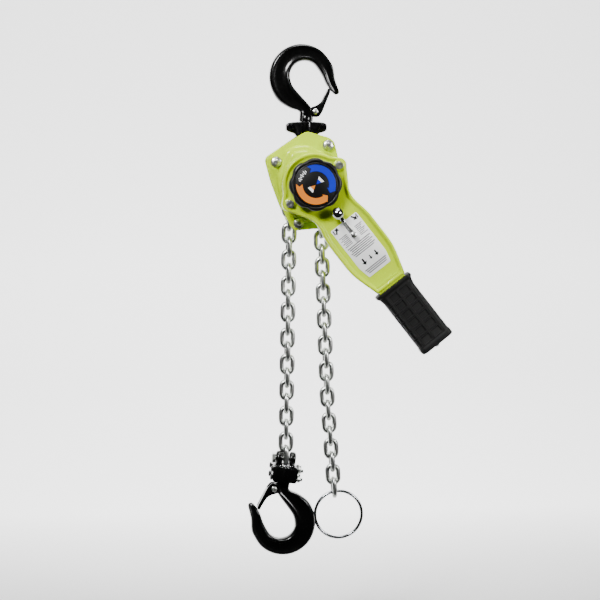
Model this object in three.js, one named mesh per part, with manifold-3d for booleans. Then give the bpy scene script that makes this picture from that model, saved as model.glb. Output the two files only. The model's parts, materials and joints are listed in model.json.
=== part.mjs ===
import * as THREE from "three";
import { mergeVertices } from "three/addons/utils/BufferGeometryUtils.js";
import Module from "manifold-3d";

// A lever chain hoist, in millimetres. X points right, Y to the rear, Z up.
// The operator's side, with the lever and the hand knob, faces -Y.
// The origin is the bearing point inside the bowl of the top hook.

// Chain
const wire = 10;                    // wire diameter
const pitch = 28;                   // inner length of a link
const linkWidth = 33;               // outer width of a link
const fusedWire = 10.4;             // wire of the links that are joined into one length
const loosePitch = 27.2;            // link spacing where one length hangs from the next

// Hoist head, measured from the main axis
const axisX = 13;
const axisZ = -260;
const stayPlaces = [[89, 67.6], [89, 148], [85.7, 250.9]];   // radius and angle of each stay bolt
const pinPlaceOnPlate = [89, 96.5];                         // the same for the suspension pin
const plateInner = 19;
const plateOuter = 25;
const coverThickness = 2.5;
const coverGap = 0.5;
const drumRadius = 73;
const drumFace = 57.5;
const domeRadius = 74;
const domeFace = 70;
const stayRadius = 5.4;
const nutAcross = 19;

// Shafts, sheave and gears
const pocketRadius = 44.56;         // chain pitch points on the load sheave
const pocketCount = 5;
const sheaveRadius = 36.8;
const sheaveApothem = 34;           // centre to each pocket's flat
const grooveRadius = 24.5;          // floor of the groove for the edge-on links
const grooveHalf = 6;
const sheaveHub = 18;
const shaftRadius = 8.5;
const driveShaftFront = 110;
const pinionRear = 64;
const gearModule = 2.7;
const pinionTeeth = 7;
const wheelTeeth = 21;
const gearCentres = gearModule * (pinionTeeth + wheelTeeth) / 2;

// Lever
const leverAngle = 51.9;            // below the horizontal
const leverRear = 60;               // rear face of the lever case, in front of the chain plane
const leverSplit = 73.5;
const leverFront = 87;
const leverWall = 3;
const hubRoundRadius = 66;
const lugRadius = 16;
const lugOffset = 65;
const leverEnd = 262;
const gripStart = 266;
const gripEnd = 424;
const tangHalf = 16;                // half width of the tongue inside the grip
const selectorPivot = 132;
const selectorBall = 75;
const selectorPawlPivot = 62;

// Knob
const knobRadius = 55;
const knobRear = 90;
const knobFront = 116;
const knobLobes = 8;
const knobDip = 4.5;                // depth of the hollows between the lobes
const knobTurn = 25;                // degrees, where the first hollow stands
const decalRadius = 42.6;

// Hooks
const bowlRadius = 31;
const backRadius = 69.5;            // outside of the hook
const backCentre = new THREE.Vector2(-6, -33);
const hookHalfThickness = 14;
const shankOffset = 3;              // shank axis from the bowl's centre line
const shankRadius = 10;
const shankHead = 14.5;
const latchPivot = new THREE.Vector2(22, -106);
const latchPinRadius = 4;
const latchHalfWidth = 12.3;
const latchInnerHalf = 9.2;

// Top yoke, two halves bolted round the shank of the top hook
const yokeZ = -140;                 // height of the bolts through its ears
const yokeScrew = 33;               // bolts to either side of the shank
const yokeEarEnd = 43;
const yokeDepth = 18;
const yokeSplit = 0.2;
const tongueHalf = 14;
const suspensionPinRadius = 8;

// Bottom block
const blockTilt = 6;                // degrees, its lower end leans to the left
const hookDrop = 172;               // from the chain bolt to the bearing point of the bottom hook
const chainBoltRadius = 5.5;
const slotHalf = 7.3;               // half width of the fork's slot
const blockHalfWidth = 27;
const blockCoreHalf = 28.6;         // half depth of the block between its side flanges
const blockFlangeHalf = 31;
const blockBolts = [-20.5, -39];    // heights of the clamp bolts
const blockBoltDepth = 23.6;        // clamp bolts in front of the swivel axis and behind it
const blockBoltRadius = 3.5;
const gap = 0.35;                   // play between a bore and what sits in it

const radians = THREE.MathUtils.degToRad;

const lime = { color: 0xcfe544, roughness: 0.3, metalness: 0.0 };
const blackPaint = { color: 0x0b0b0c, roughness: 0.25, metalness: 0.2 };
const zinc = { color: 0xc9ccc8, roughness: 0.35, metalness: 0.9 };
const chrome = { color: 0xd8dadd, roughness: 0.12, metalness: 1.0 };
const steel = { color: 0x8d9196, roughness: 0.4, metalness: 0.9 };
const blackPlastic = { color: 0x151516, roughness: 0.45, metalness: 0.0 };
const rubber = { color: 0x1b1b1c, roughness: 0.75, metalness: 0.0 };
const lining = { color: 0x5d4a3c, roughness: 0.85, metalness: 0.0 };

const wasm = await Module();
wasm.setup();

// ---- solids -------------------------------------------------------------------------------

function solidOf(geometry) {
  const bare = geometry.clone();
  bare.deleteAttribute("normal");
  bare.deleteAttribute("uv");
  const merged = mergeVertices(bare, 1e-4);
  const corners = merged.index.array;
  const kept = [];
  for (let i = 0; i < corners.length; i += 3) {
    const [a, b, c] = [corners[i], corners[i + 1], corners[i + 2]];
    if (a !== b && b !== c && c !== a) kept.push(a, b, c);
  }
  return new wasm.Manifold(new wasm.Mesh({
    numProp: 3,
    vertProperties: new Float32Array(merged.attributes.position.array),
    triVerts: new Uint32Array(kept),
  }));
}

function geometryOf(solid) {
  const mesh = solid.getMesh();
  const geometry = new THREE.BufferGeometry();
  geometry.setAttribute("position", new THREE.BufferAttribute(new Float32Array(mesh.vertProperties), 3));
  geometry.setIndex(new THREE.BufferAttribute(new Uint32Array(mesh.triVerts), 1));
  geometry.computeVertexNormals();
  return geometry;
}

function box(x0, x1, y0, y1, z0, z1) {
  const geometry = new THREE.BoxGeometry(x1 - x0, y1 - y0, z1 - z0);
  return solidOf(geometry.translate((x0 + x1) / 2, (y0 + y1) / 2, (z0 + z1) / 2));
}

function rodY(radius, y0, y1, x = 0, z = 0, sides = 16) {
  const geometry = new THREE.CylinderGeometry(radius, radius, y1 - y0, sides);
  return solidOf(geometry.translate(x, (y0 + y1) / 2, z));
}

function rodX(radius, x0, x1, y = 0, z = 0, sides = 16) {
  const geometry = new THREE.CylinderGeometry(radius, radius, x1 - x0, sides);
  return solidOf(geometry.rotateZ(Math.PI / 2).translate((x0 + x1) / 2, y, z));
}

function rodZ(radius, z0, z1, x = 0, y = 0, sides = 16) {
  const geometry = new THREE.CylinderGeometry(radius, radius, z1 - z0, sides);
  return solidOf(geometry.rotateX(Math.PI / 2).translate(x, y, (z0 + z1) / 2));
}

// A solid turned about the Y axis from [radius, y] points.
function turned(points, sides = 20) {
  const profile = points.map(([radius, y]) => new THREE.Vector2(radius, y));
  const solid = solidOf(new THREE.LatheGeometry(profile, sides));
  return solid.volume() > 0 ? solid : solidOf(new THREE.LatheGeometry(profile.reverse(), sides));
}

// A closed outline of [x, z] points with its corners rounded.
function outline(points, cornerRadius = 0, divisions = 3) {
  const corners = points.map(([x, z]) => new THREE.Vector2(x, z));
  if (cornerRadius === 0) return corners;
  return corners.flatMap((corner, i) => {
    const before = corners.at(i - 1).clone().sub(corner);
    const after = corners[(i + 1) % corners.length].clone().sub(corner);
    const reach = Math.min(cornerRadius, before.length() / 2.1, after.length() / 2.1);
    const from = corner.clone().add(before.setLength(reach));
    const to = corner.clone().add(after.setLength(reach));
    return new THREE.QuadraticBezierCurve(from, corner, to).getPoints(divisions);
  });
}

// An outline in the XZ plane made solid from y0 to y1.
function slab(corners, y0, y1) {
  const options = { depth: y1 - y0, bevelEnabled: false };
  const geometry = new THREE.ExtrudeGeometry(new THREE.Shape(corners), options);
  return solidOf(geometry.rotateX(Math.PI / 2).translate(0, y1, 0));
}

function arc(x, z, radius, from, to, steps) {
  return Array.from({ length: steps + 1 }, (_, i) => {
    const angle = radians(from + (to - from) * i / steps);
    return [x + radius * Math.cos(angle), z + radius * Math.sin(angle)];
  });
}

// A skin over rings of points; closed joins the last ring to the first, otherwise the ends are capped.
function loft(rings, closed) {
  const count = rings[0].length;
  const points = rings.flat();
  const faces = [];
  const last = closed ? rings.length : rings.length - 1;
  for (let i = 0; i < last; i += 1) {
    const here = i * count;
    const next = ((i + 1) % rings.length) * count;
    for (let j = 0; j < count; j += 1) {
      const k = (j + 1) % count;
      faces.push(here + j, here + k, next + k, here + j, next + k, next + j);
    }
  }
  if (!closed) {
    const end = (rings.length - 1) * count;
    for (let j = 1; j < count - 1; j += 1) {
      faces.push(0, j + 1, j, end, end + j, end + j + 1);
    }
  }
  const geometry = new THREE.BufferGeometry();
  geometry.setAttribute("position", new THREE.Float32BufferAttribute(points.flatMap((p) => p.toArray()), 3));
  geometry.setIndex(faces);
  const solid = solidOf(geometry);
  if (solid.volume() > 0) return solid;
  geometry.setIndex(faces.reverse());
  return solidOf(geometry);
}

// A tube of round section along a closed loop of points in the XZ plane.
function closedLoop(centres, normals, radius, sides) {
  return loft(centres.map((centre, i) => Array.from({ length: sides }, (_, j) => {
    const angle = 2 * Math.PI * j / sides;
    const offset = normals[i].clone().multiplyScalar(-radius * Math.cos(angle));
    return new THREE.Vector3(centre.x + offset.x, radius * Math.sin(angle), centre.y + offset.y);
  })), true);
}

const hoist = new THREE.Group();
const head = new THREE.Group();
head.position.set(axisX, 0, axisZ);
const lever = new THREE.Group();
lever.rotation.y = radians(leverAngle);
const block = new THREE.Group();
hoist.add(head, block);
head.add(lever);

function piece(name, solid, finish, parent) {
  const mesh = new THREE.Mesh(geometryOf(solid), new THREE.MeshStandardMaterial(finish));
  mesh.name = name;
  parent.add(mesh);
  return mesh;
}

const fromPolar = ([radius, angle]) => new THREE.Vector2(
  radius * Math.cos(radians(angle)), radius * Math.sin(radians(angle)));
const pinPlace = fromPolar(pinPlaceOnPlate);

// ---- hooks --------------------------------------------------------------------------------

// Pairs of points across the hook, inner edge and outer edge, from the neck round to the tip,
// each with its half thickness. The bowl is an arc, and its outer edge is a larger arc beside it.
function hookSections() {
  const neck = [
    [18, -124, -12, -124, 11], [18, -113, -11, -114, 11.5], [14, -97, -14, -105, 12.5],
    [3, -84, -33, -98, 13.5], [-13, -67, -56, -83, hookHalfThickness],
    [-26, -50, -70, -60, hookHalfThickness],
  ];
  const bowl = [];
  for (let angle = 180; angle >= 30; angle -= 25) {
    const inner = radians(angle);
    const outer = radians(angle * 1.02 - 4);
    bowl.push([
      bowlRadius * Math.cos(inner), bowlRadius * (Math.sin(inner) - 1),
      backCentre.x + backRadius * Math.cos(outer), backCentre.y + backRadius * Math.sin(outer),
      hookHalfThickness]);
  }
  const tip = [
    [37, -31, 62, -16, 12.5], [44, -46, 64, -35, 11.5], [51, -57, 69, -49, 10], [57, -64, 73, -61, 8],
    [63, -69, 73, -66, 4.5],
  ];
  return [...neck, ...bowl, ...tip];
}

function hookSolid() {
  const sides = 8;
  const rings = hookSections().map(([xi, zi, xo, zo, thickness]) => Array.from({ length: sides }, (_, j) => {
    const angle = 2 * Math.PI * (j + 0.5) / sides;
    const across = Math.sign(Math.cos(angle)) * Math.abs(Math.cos(angle)) ** 0.75;
    const out = Math.sign(Math.sin(angle)) * Math.abs(Math.sin(angle)) ** 0.75;
    return new THREE.Vector3(
      (xi + xo) / 2 + across * (xo - xi) / 2, thickness * out, (zi + zo) / 2 + across * (zo - zi) / 2);
  }));
  const shank = rodZ(shankRadius, -142, -120, shankOffset, 0, 20);
  const upset = rodZ(shankHead, -142, -136, shankOffset, 0, 20);
  const latchSeat = rodY(10, -8.6, 8.6, latchPivot.x, latchPivot.y, 12);
  const pinHole = rodY(latchPinRadius + gap, -20, 20, latchPivot.x, latchPivot.y, 12);
  const frontFlat = rodY(16.5, -20, -8.8, latchPivot.x, latchPivot.y, 14);
  const rearFlat = rodY(16.5, 8.8, 20, latchPivot.x, latchPivot.y, 14);
  return loft(rings, false).add(shank).add(upset).add(latchSeat).subtract(pinHole)
    .subtract(frontFlat).subtract(rearFlat);
}

// A folded sheet latch: two cheeks beside the hook's lug, joined by a web that ends inside the tip.
function latchSolid() {
  const cheekCorners = [[11, -99], [13, -115], [28, -117.5], [36, -108], [53, -63], [47.3, -56.5], [27, -91]];
  const cheeks = slab(outline(cheekCorners, 4, 2), -latchHalfWidth, latchHalfWidth);
  const inside = outline([[0, -90], [0, -130], [33, -130], [32.6, -108], [38, -92], [31, -84]]);
  const hole = rodY(latchPinRadius + gap, -20, 20, latchPivot.x, latchPivot.y, 12);
  return cheeks.subtract(slab(inside, -latchInnerHalf, latchInnerHalf)).subtract(hole);
}

function latchPinSolid() {
  const pin = rodY(latchPinRadius, -13.2, 13.2, latchPivot.x, latchPivot.y, 12);
  const rivetHead = (y) => rodY(6, y - 1.2, y + 1.2, latchPivot.x, latchPivot.y, 12);
  return pin.add(rivetHead(-14)).add(rivetHead(14));
}

piece("top_hook", hookSolid(), blackPaint, hoist);
piece("top_hook_latch", latchSolid(), blackPaint, hoist);
piece("top_hook_latch_pin", latchPinSolid(), zinc, hoist);

// ---- top yoke -----------------------------------------------------------------------------

const pinX = axisX + pinPlace.x;
const pinZ = axisZ + pinPlace.y;

function yokeHalf(y0, y1) {
  const rightSide = [
    [12, yokeZ + 12.5], [25, yokeZ + 12], [35, yokeZ + 10], [yokeEarEnd, yokeZ + 5], [yokeEarEnd, yokeZ - 5],
    [36, yokeZ - 9.5], [26, yokeZ - 12], [23, yokeZ - 16], [tongueHalf, pinZ - 4],
    [tongueHalf - 2, pinZ - 13]];
  const leftSide = rightSide.map(([x, z]) => [-x, z]).reverse();
  const shape = outline([...rightSide, ...leftSide].map(([x, z]) => [x + shankOffset, z]), 7);
  const bore = rodZ(shankRadius + gap, -136, -100, shankOffset, 0, 20);
  const seat = rodZ(shankHead + gap, -142.4, -135.7, shankOffset, 0, 20);
  const pinBore = rodY(suspensionPinRadius + gap, -40, 40, pinX, pinZ, 20);
  let half = slab(shape, y0, y1).subtract(bore).subtract(seat).subtract(pinBore);
  for (const side of [-1, 1]) {
    half = half.subtract(rodY(4 + gap, -40, 40, shankOffset + side * yokeScrew, yokeZ, 12));
  }
  return half;
}

piece("top_yoke_front", yokeHalf(-yokeDepth, -yokeSplit), blackPaint, hoist);
piece("top_yoke_rear", yokeHalf(yokeSplit, yokeDepth), blackPaint, hoist);
for (const [side, label] of [[-1, "left"], [1, "right"]]) {
  const x = shankOffset + side * yokeScrew;
  const bolt = rodY(4, -22, 22, x, yokeZ, 12).add(rodY(6.5, -22, -yokeDepth - 0.3, x, yokeZ, 16))
    .add(rodY(6.5, yokeDepth + 0.3, 23, x, yokeZ, 6));
  piece(`top_yoke_bolt_${label}`, bolt, blackPaint, hoist);
}

// ---- hoist head: plates, covers, stay bolts -------------------------------------------------

const headCorners = [
  [-33, 100], [-15, 110], [-7, 111], [7, 107], [24, 102], [36, 99], [47, 90], [50, 80], [55, 60],
  [62, 0], [62, -60], [45, -95], [7.5, -93], [-36, -97], [-45, -88], [-54, -70], [-67, -40],
  [-85, 9], [-96, 51], [-93, 59]];

function headOutline(inset) {
  const centre = new THREE.Vector2(-10, 5);
  return outline(headCorners, 9, 1).map((corner) => {
    const arm = corner.clone().sub(centre);
    return arm.setLength(arm.length() - inset).add(centre);
  });
}

function boltHoles(radius) {
  const holes = stayPlaces.map(fromPolar).map((place) => rodY(radius, -60, 60, place.x, place.y, 12));
  return holes.reduce((all, hole) => all.add(hole));
}

function sidePlate(y0, y1) {
  const bearingHole = rodY(26.3, -40, 40, 0, 0, 20);
  const pinHole = rodY(suspensionPinRadius + gap, -40, 40, pinPlace.x, pinPlace.y, 16);
  return slab(headOutline(2), y0, y1).subtract(boltHoles(stayRadius + gap))
    .subtract(bearingHole).subtract(pinHole);
}

// The studs that carry the ratchet pawls are riveted into the front plate.
const pawlPivots = [[-50, 14], [50, -14]];
const pawlStuds = pawlPivots.map(([x, z]) => rodY(3.6, -50, -plateOuter + 1, x, z, 12));
const frontPlate = pawlStuds.reduce((plate, stud) => plate.add(stud), sidePlate(-plateOuter, -plateInner));
piece("front_side_plate", frontPlate, lime, head);
piece("rear_side_plate", sidePlate(plateInner, plateOuter), lime, head);

const coverInner = plateOuter + coverGap;
const coverOuter = coverInner + coverThickness;

function brakeCover() {
  const flange = slab(headOutline(0), -coverOuter, -coverInner);
  const drum = turned([[0, -coverInner], [drumRadius, -coverInner], [drumRadius, -42], [drumRadius - 5, -50],
    [drumRadius - 12, -drumFace], [0, -drumFace]]);
  const room = turned([[0, -20], [drumRadius - 4, -20], [drumRadius - 4, -41],
    [drumRadius - 14, -drumFace + 3], [0, -drumFace + 3]]);
  const pinHole = rodY(9.6, -40, 0, pinPlace.x, pinPlace.y, 16);
  return flange.add(drum).subtract(room).subtract(rodY(24, -70, -40)).subtract(boltHoles(stayRadius + gap))
    .subtract(pinHole.intersect(box(-20, 20, -27, 0, 60, 120)));
}

function gearCover() {
  const flange = slab(headOutline(0), coverInner, coverOuter);
  const dome = turned([[0, coverInner], [domeRadius, coverInner], [domeRadius, domeFace - 8],
    [domeRadius - 6, domeFace], [0, domeFace]]);
  const room = turned([[0, 20], [domeRadius - 3, 20], [domeRadius - 3, domeFace - 9],
    [domeRadius - 8, domeFace - 3], [0, domeFace - 3]]);
  const pinHole = rodY(9.6, 0, 27, pinPlace.x, pinPlace.y, 16);
  return flange.add(dome).subtract(room).subtract(boltHoles(stayRadius + gap)).subtract(pinHole);
}

piece("brake_cover", brakeCover(), lime, head);
piece("gear_cover", gearCover(), lime, head);
const pinEnd = plateOuter + 0.2;
const suspensionPin = rodY(suspensionPinRadius, -pinEnd, pinEnd, pinPlace.x, pinPlace.y, 20);
piece("suspension_pin", suspensionPin, steel, head);

stayPlaces.map(fromPolar).forEach((place, i) => {
  const hexagon = nutAcross / Math.sqrt(3);
  const bolt = rodY(stayRadius, -41, coverOuter + 8, place.x, place.y, 12)
    .add(rodY(hexagon, coverOuter + 0.3, coverOuter + 8, place.x, place.y, 6));
  const nut = rodY(hexagon, -coverOuter - 10, -coverOuter - 2.3, place.x, place.y, 6)
    .add(rodY(11.5, -coverOuter - 2.3, -coverOuter - 0.3, place.x, place.y, 12))
    .subtract(rodY(stayRadius + gap, -60, 0, place.x, place.y, 12));
  piece(`stay_bolt_${i + 1}`, bolt, zinc, head);
  piece(`stay_nut_${i + 1}`, nut, zinc, head);
});

const guideShape = outline([[-19, -88], [2, -88], [2, -58], [-6, -55.5], [-19, -57]], 3);
piece("chain_guide", slab(guideShape, -plateInner + 0.3, plateInner - 0.3), steel, head);

// ---- load sheave, shafts and gears --------------------------------------------------------------

function loadSheave() {
  const corner = sheaveApothem / Math.cos(Math.PI / pocketCount);
  const pentagon = rodY(corner, -18, 18, 0, 0, pocketCount);
  const body = rodY(sheaveRadius, -18, 18, 0, 0, 30).intersect(pentagon);
  const groove = turned([[grooveRadius, -grooveHalf], [60, -grooveHalf], [60, grooveHalf],
    [grooveRadius, grooveHalf], [grooveRadius, -grooveHalf]], 30);
  const hub = rodY(sheaveHub, -30, 42, 0, 0, 24);
  return body.subtract(groove).add(hub).subtract(rodY(shaftRadius + gap, -80, 80, 0, 0, 20));
}

function bearing(y0, y1) {
  return rodY(25.9, y0, y1, 0, 0, 20).subtract(rodY(sheaveHub + gap, y0 - 1, y1 + 1, 0, 0, 24));
}

// A toothed wheel with straight-flanked stub teeth and room to run freely with its mate.
// Its first tooth points along +X, which puts a gap there on the far side when the count is odd.
function gear(teeth, y0, y1, x = 0, z = 0) {
  const radius = gearModule * teeth / 2;
  const root = radius - 1.2 * gearModule;
  const tip = radius + 0.75 * gearModule;
  const step = 360 / teeth;
  const corners = [];
  for (let tooth = 0; tooth < teeth; tooth += 1) {
    const middle = tooth * step;
    const flank = [[root, -0.3], [tip, -0.12], [tip, 0.12], [root, 0.3]];
    for (const [reach, share] of flank) {
      const angle = radians(middle + share * step);
      corners.push(new THREE.Vector2(x + reach * Math.cos(angle), z + reach * Math.sin(angle)));
    }
  }
  return slab(corners, y0, y1);
}

piece("load_sheave", loadSheave(), steel, head);
piece("sheave_bearing_front", bearing(-plateOuter, -plateInner), chrome, head);
piece("sheave_bearing_rear", bearing(plateInner, plateOuter), chrome, head);
const loadGear = gear(wheelTeeth, 44, 52).add(rodY(sheaveHub, 42.3, 44));
piece("load_gear", loadGear.subtract(rodY(shaftRadius + gap, 0, 80)), steel, head);

const driveShaft = rodY(shaftRadius, -driveShaftFront, 53, 0, 0, 20).add(gear(pinionTeeth, 53, pinionRear));
piece("drive_shaft", driveShaft, steel, head);
[[0, "right"], [180, "left"]].forEach(([angle, label]) => {
  const x = gearCentres * Math.cos(radians(angle));
  const z = gearCentres * Math.sin(radians(angle));
  const wheel = gear(wheelTeeth, 54, 63, x, z);
  const small = gear(pinionTeeth, 44, 54, x, z);
  piece(`intermediate_gear_${label}`, wheel.add(small).add(rodY(5, 29, 66, x, z, 16)), steel, head);
});

// ---- load brake -------------------------------------------------------------------------------

const boreHole = rodY(shaftRadius + gap, -200, 100, 0, 0, 20);
const ring = (outer, inner, y0, y1, sides = 24) => rodY(outer, y0, y1, 0, 0, sides)
  .subtract(rodY(inner, y0 - 1, y1 + 1, 0, 0, 16));
const brakeHub = rodY(34, -34.5, -30.6, 0, 0, 24).add(rodY(14, -48, -34.5));
piece("brake_hub", brakeHub.subtract(boreHole), steel, head);
piece("friction_disc_rear", ring(33, 14.4, -37.8, -34.8), lining, head);
piece("friction_disc_front", ring(33, 14.4, -47.8, -44.8), lining, head);

const ratchetTeeth = 15;
function ratchetWheel() {
  const corners = [];
  for (let tooth = 0; tooth < ratchetTeeth; tooth += 1) {
    const start = 360 * tooth / ratchetTeeth;
    for (const [radius, turn] of [[33.5, 0], [38, 2], [34.2, 17]]) {
      corners.push(fromPolar([radius, start + turn]));
    }
  }
  return slab(corners, -44.5, -38.1).subtract(rodY(14.4, -60, -30));
}
piece("ratchet_wheel", ratchetWheel(), steel, head);

const changeTeeth = 15;
const changeGear = rodY(33, -53.5, -48.2, 0, 0, 24).add(rodY(20, -86, -53.5))
  .add(gear(changeTeeth, -82, -64.5)).subtract(boreHole);
piece("change_gear", changeGear, steel, head);

pawlPivots.forEach(([x, z], i) => {
  const angle = Math.atan2(z, x);
  const nose = new THREE.Vector2(Math.cos(angle - 0.32), Math.sin(angle - 0.32)).multiplyScalar(39.6);
  const heel = new THREE.Vector2(x, z);
  const along = nose.clone().sub(heel).normalize();
  const side = new THREE.Vector2(-along.y, along.x);
  const edge = (distance, half) => [1, -1].map((sign) => {
    return heel.clone().addScaledVector(along, distance).addScaledVector(side, half * sign);
  });
  const [a, b] = edge(0, 5.5);
  const [c, d] = edge(heel.distanceTo(nose), 1.4);
  const pawl = slab([a, c, d, b].reverse(), -44.3, -38.3).add(rodY(6.4, -44.3, -38.3, x, z, 16));
  piece(`ratchet_pawl_${i + 1}`, pawl.subtract(rodY(4, -60, -20, x, z, 12)), steel, head);
});

// ---- lever --------------------------------------------------------------------------------------

function leverOutline(inset) {
  const sideEdge = [[leverEnd, 36 - inset], [195, 54 - inset], [118, 54 - inset], [78, 47.5 - inset],
    [58, 49.5 - inset], [36, 62 - inset]];
  const lug = arc(0, lugOffset, lugRadius - inset, 42, 138, 5);
  const upper = [...sideEdge, ...lug];
  const hub = arc(0, 0, hubRoundRadius - inset, 116, 244, 10);
  const lower = upper.map(([u, v]) => [u, -v]).reverse();
  return [...upper, ...hub, ...lower].map(([u, v]) => new THREE.Vector2(u, v));
}

function leverShell(y0, y1, openSide) {
  const wall = openSide === "rear" ? [y0 + leverWall, y1 + 1] : [y0 - 1, y1 - leverWall];
  let room = slab(leverOutline(leverWall), wall[0], wall[1]);
  for (const side of [-1, 1]) {
    room = room.subtract(rodY(8.5, y0 - 5, y1 + 5, 0, side * lugOffset, 16));
  }
  room = room.subtract(box(225, 300, y0 - 5, y1 + 5, -60, 60));
  let shell = slab(leverOutline(0), y0, y1).subtract(room);
  for (const side of [-1, 1]) {
    shell = shell.subtract(rodY(4.4, -120, 0, 0, side * lugOffset, 12));
  }
  return shell;
}

const frontCase = leverShell(-leverFront, -leverSplit - 0.2, "rear")
  .subtract(rodY(24, -100, -80)).subtract(rodY(6.4, -100, -70, selectorPivot, 0, 16));
const rearCase = leverShell(-leverSplit + 0.2, -leverRear, "front")
  .subtract(rodY(27, -80, -50))
  .add(box(leverEnd - 1, gripEnd - 9, -leverSplit + 0.2 - 7, -leverRear - 2, -tangHalf, tangHalf)
    .subtract(box(leverEnd - 2, leverEnd + 1, -90, -leverSplit + 0.2, -60, 60)))
  .add(rodY(3.5, -83.6, -leverRear - 1, selectorPawlPivot, 0, 12));
piece("lever_case_front", frontCase, lime, lever);
piece("lever_case_rear", rearCase, lime, lever);

for (const [side, label] of [[1, "upper"], [-1, "lower"]]) {
  const v = side * lugOffset;
  const bolt = rodY(4, -leverFront - 5, -leverRear + 1.2, 0, v, 12)
    .add(rodY(8, -leverFront - 5, -leverFront - 0.3, 0, v, 16));
  piece(`lever_bolt_${label}`, bolt, zinc, lever);
}

function gripSolid() {
  const ring = (u, half, depth) => {
    const corners = outline([[-half, -depth], [half, -depth], [half, depth], [-half, depth]], 11, 3);
    return corners.map((c) => new THREE.Vector3(u, c.y - leverSplit, c.x));
  };
  const rings = [
    ring(gripStart, 43, 20), ring(gripStart + 1.5, 44.5, 21.5), ring(gripStart + 8, 44.5, 21.5),
    ring(gripStart + 9, 38, 18), ring(gripEnd - 17, 38, 18), ring(gripEnd - 16, 39.5, 19.5),
    ring(gripEnd - 4, 39.5, 19.5), ring(gripEnd, 34, 15)];
  const tang = box(gripStart - 5, gripEnd - 8.6, -leverSplit + 0.2 - 7.4, -leverRear - 1.6,
    -tangHalf - gap, tangHalf + gap);
  return loft(rings, false).subtract(tang);
}
piece("lever_grip", gripSolid(), rubber, lever);

function selectorPawl() {
  const horn = (sign) => {
    const corners = [[0, -5], [2, 5], [-33, sign * 15 + 2.2], [-35, sign * 15 - 2.2]];
    return slab(outline(corners.map(([u, v]) => [selectorPawlPivot + u, v]).reverse()), -81, -75.5);
  };
  const tail = box(selectorPawlPivot, selectorPivot - 24, -81, -75.5, -3.2, 3.2);
  const boss = rodY(7, -81, -75.5, selectorPawlPivot, 0, 16);
  return horn(1).add(horn(-1)).add(boss).add(tail).subtract(rodY(3.9, -90, -60, selectorPawlPivot, 0, 12));
}
piece("selector_pawl", selectorPawl(), steel, lever);

function selectorLever() {
  const stem = rodY(6, -95, -70, selectorPivot, 0, 16);
  const finger = box(selectorPivot - 22, selectorPivot, -83, -74, -3, 3);
  const bar = box(selectorBall + 19, selectorPivot + 7, -96, -90, -4.5, 4.5);
  const neckSections = [
    [selectorBall + 22, -93, 3, 4.5], [selectorBall + 14, -95, 3.4, 4.2], [selectorBall + 4, -100, 5, 5]];
  const neck = loft(neckSections.map(([u, y, tall, wide]) => Array.from({ length: 10 }, (_, j) => {
    const angle = 2 * Math.PI * j / 10;
    return new THREE.Vector3(u, y + tall * Math.sin(angle), wide * Math.cos(angle));
  })), false);
  const ball = solidOf(new THREE.SphereGeometry(12.3, 12, 8).translate(selectorBall, -103.5, 0));
  return stem.add(finger).add(bar).add(neck).add(ball);
}
piece("selector_lever", selectorLever(), chrome, lever);

// ---- hand knob ------------------------------------------------------------------------------------

function handKnob() {
  const corners = Array.from({ length: knobLobes * 6 }, (_, i) => {
    const angle = 2 * Math.PI * i / (knobLobes * 6);
    const dip = Math.max(0, Math.cos(knobLobes * angle)) ** 2;
    const radius = knobRadius - knobDip * dip;
    const turn = angle + radians(knobTurn);
    return new THREE.Vector2(radius * Math.cos(turn), radius * Math.sin(turn));
  });
  const grip = slab(corners, -knobFront, -knobRear - 5);
  const skirt = rodY(49, -knobRear - 6, -knobRear, 0, 0, 24);
  const dish = rodY(43, -knobFront - 1, -knobFront + 2.5, 0, 0, 24);
  const shaftRoom = rodY(shaftRadius + gap, -driveShaftFront - 0.5, 0, 0, 0, 20);
  return grip.add(skirt).subtract(dish).subtract(shaftRoom);
}
piece("hand_knob", handKnob(), blackPlastic, head);
piece("knob_decal", rodY(decalRadius, -knobFront + 1.2, -knobFront + 2.2, 0, 0, 24), blackPlastic, head);

// ---- chain ------------------------------------------------------------------------------------------

function linkSolid(diameter) {
  const bend = (linkWidth - wire) / 2;
  const straight = (pitch + 2 * wire - linkWidth) / 2;
  const centres = [];
  const normals = [];
  for (const [end, from] of [[1, 0], [-1, 180]]) {
    for (let i = 0; i <= 4; i += 1) {
      const angle = radians(from + i * 45);
      const normal = new THREE.Vector2(Math.cos(angle), Math.sin(angle));
      normals.push(normal);
      centres.push(new THREE.Vector2(bend * normal.x, bend * normal.y + end * straight));
    }
  }
  return closedLoop(centres, normals, diameter / 2, 5);
}
const linkShape = geometryOf(linkSolid(fusedWire));

// One link with its long side along the direction [dx, dz]; edgeOn turns it a quarter turn.
function linkAt(x, z, dx, dz, edgeOn) {
  const geometry = linkShape.clone();
  if (edgeOn) geometry.rotateZ(Math.PI / 2);
  return solidOf(geometry.rotateY(Math.atan2(-dx, -dz)).translate(x, 0, z));
}

// Links hanging in a straight line from the centre of the first; the first shows its face.
function straightLength(x, z, lean, count) {
  const dx = Math.sin(radians(lean));
  const dz = -Math.cos(radians(lean));
  let length = linkAt(x, z, dx, dz, false);
  for (let i = 1; i < count; i += 1) {
    length = length.add(linkAt(x + dx * pitch * i, z + dz * pitch * i, dx, dz, i % 2 === 1));
  }
  const reach = pitch * (count - 1) + loosePitch;
  return { solid: length, last: [x + dx * pitch * (count - 1), z + dz * pitch * (count - 1)],
    next: [x + dx * reach, z + dz * reach] };
}

const loadTop = [-46.1, -76.6];     // last still link on the load side, from the main axis
const slackTop = [22.3, -92.3];     // last still link on the slack side, from the main axis

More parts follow.
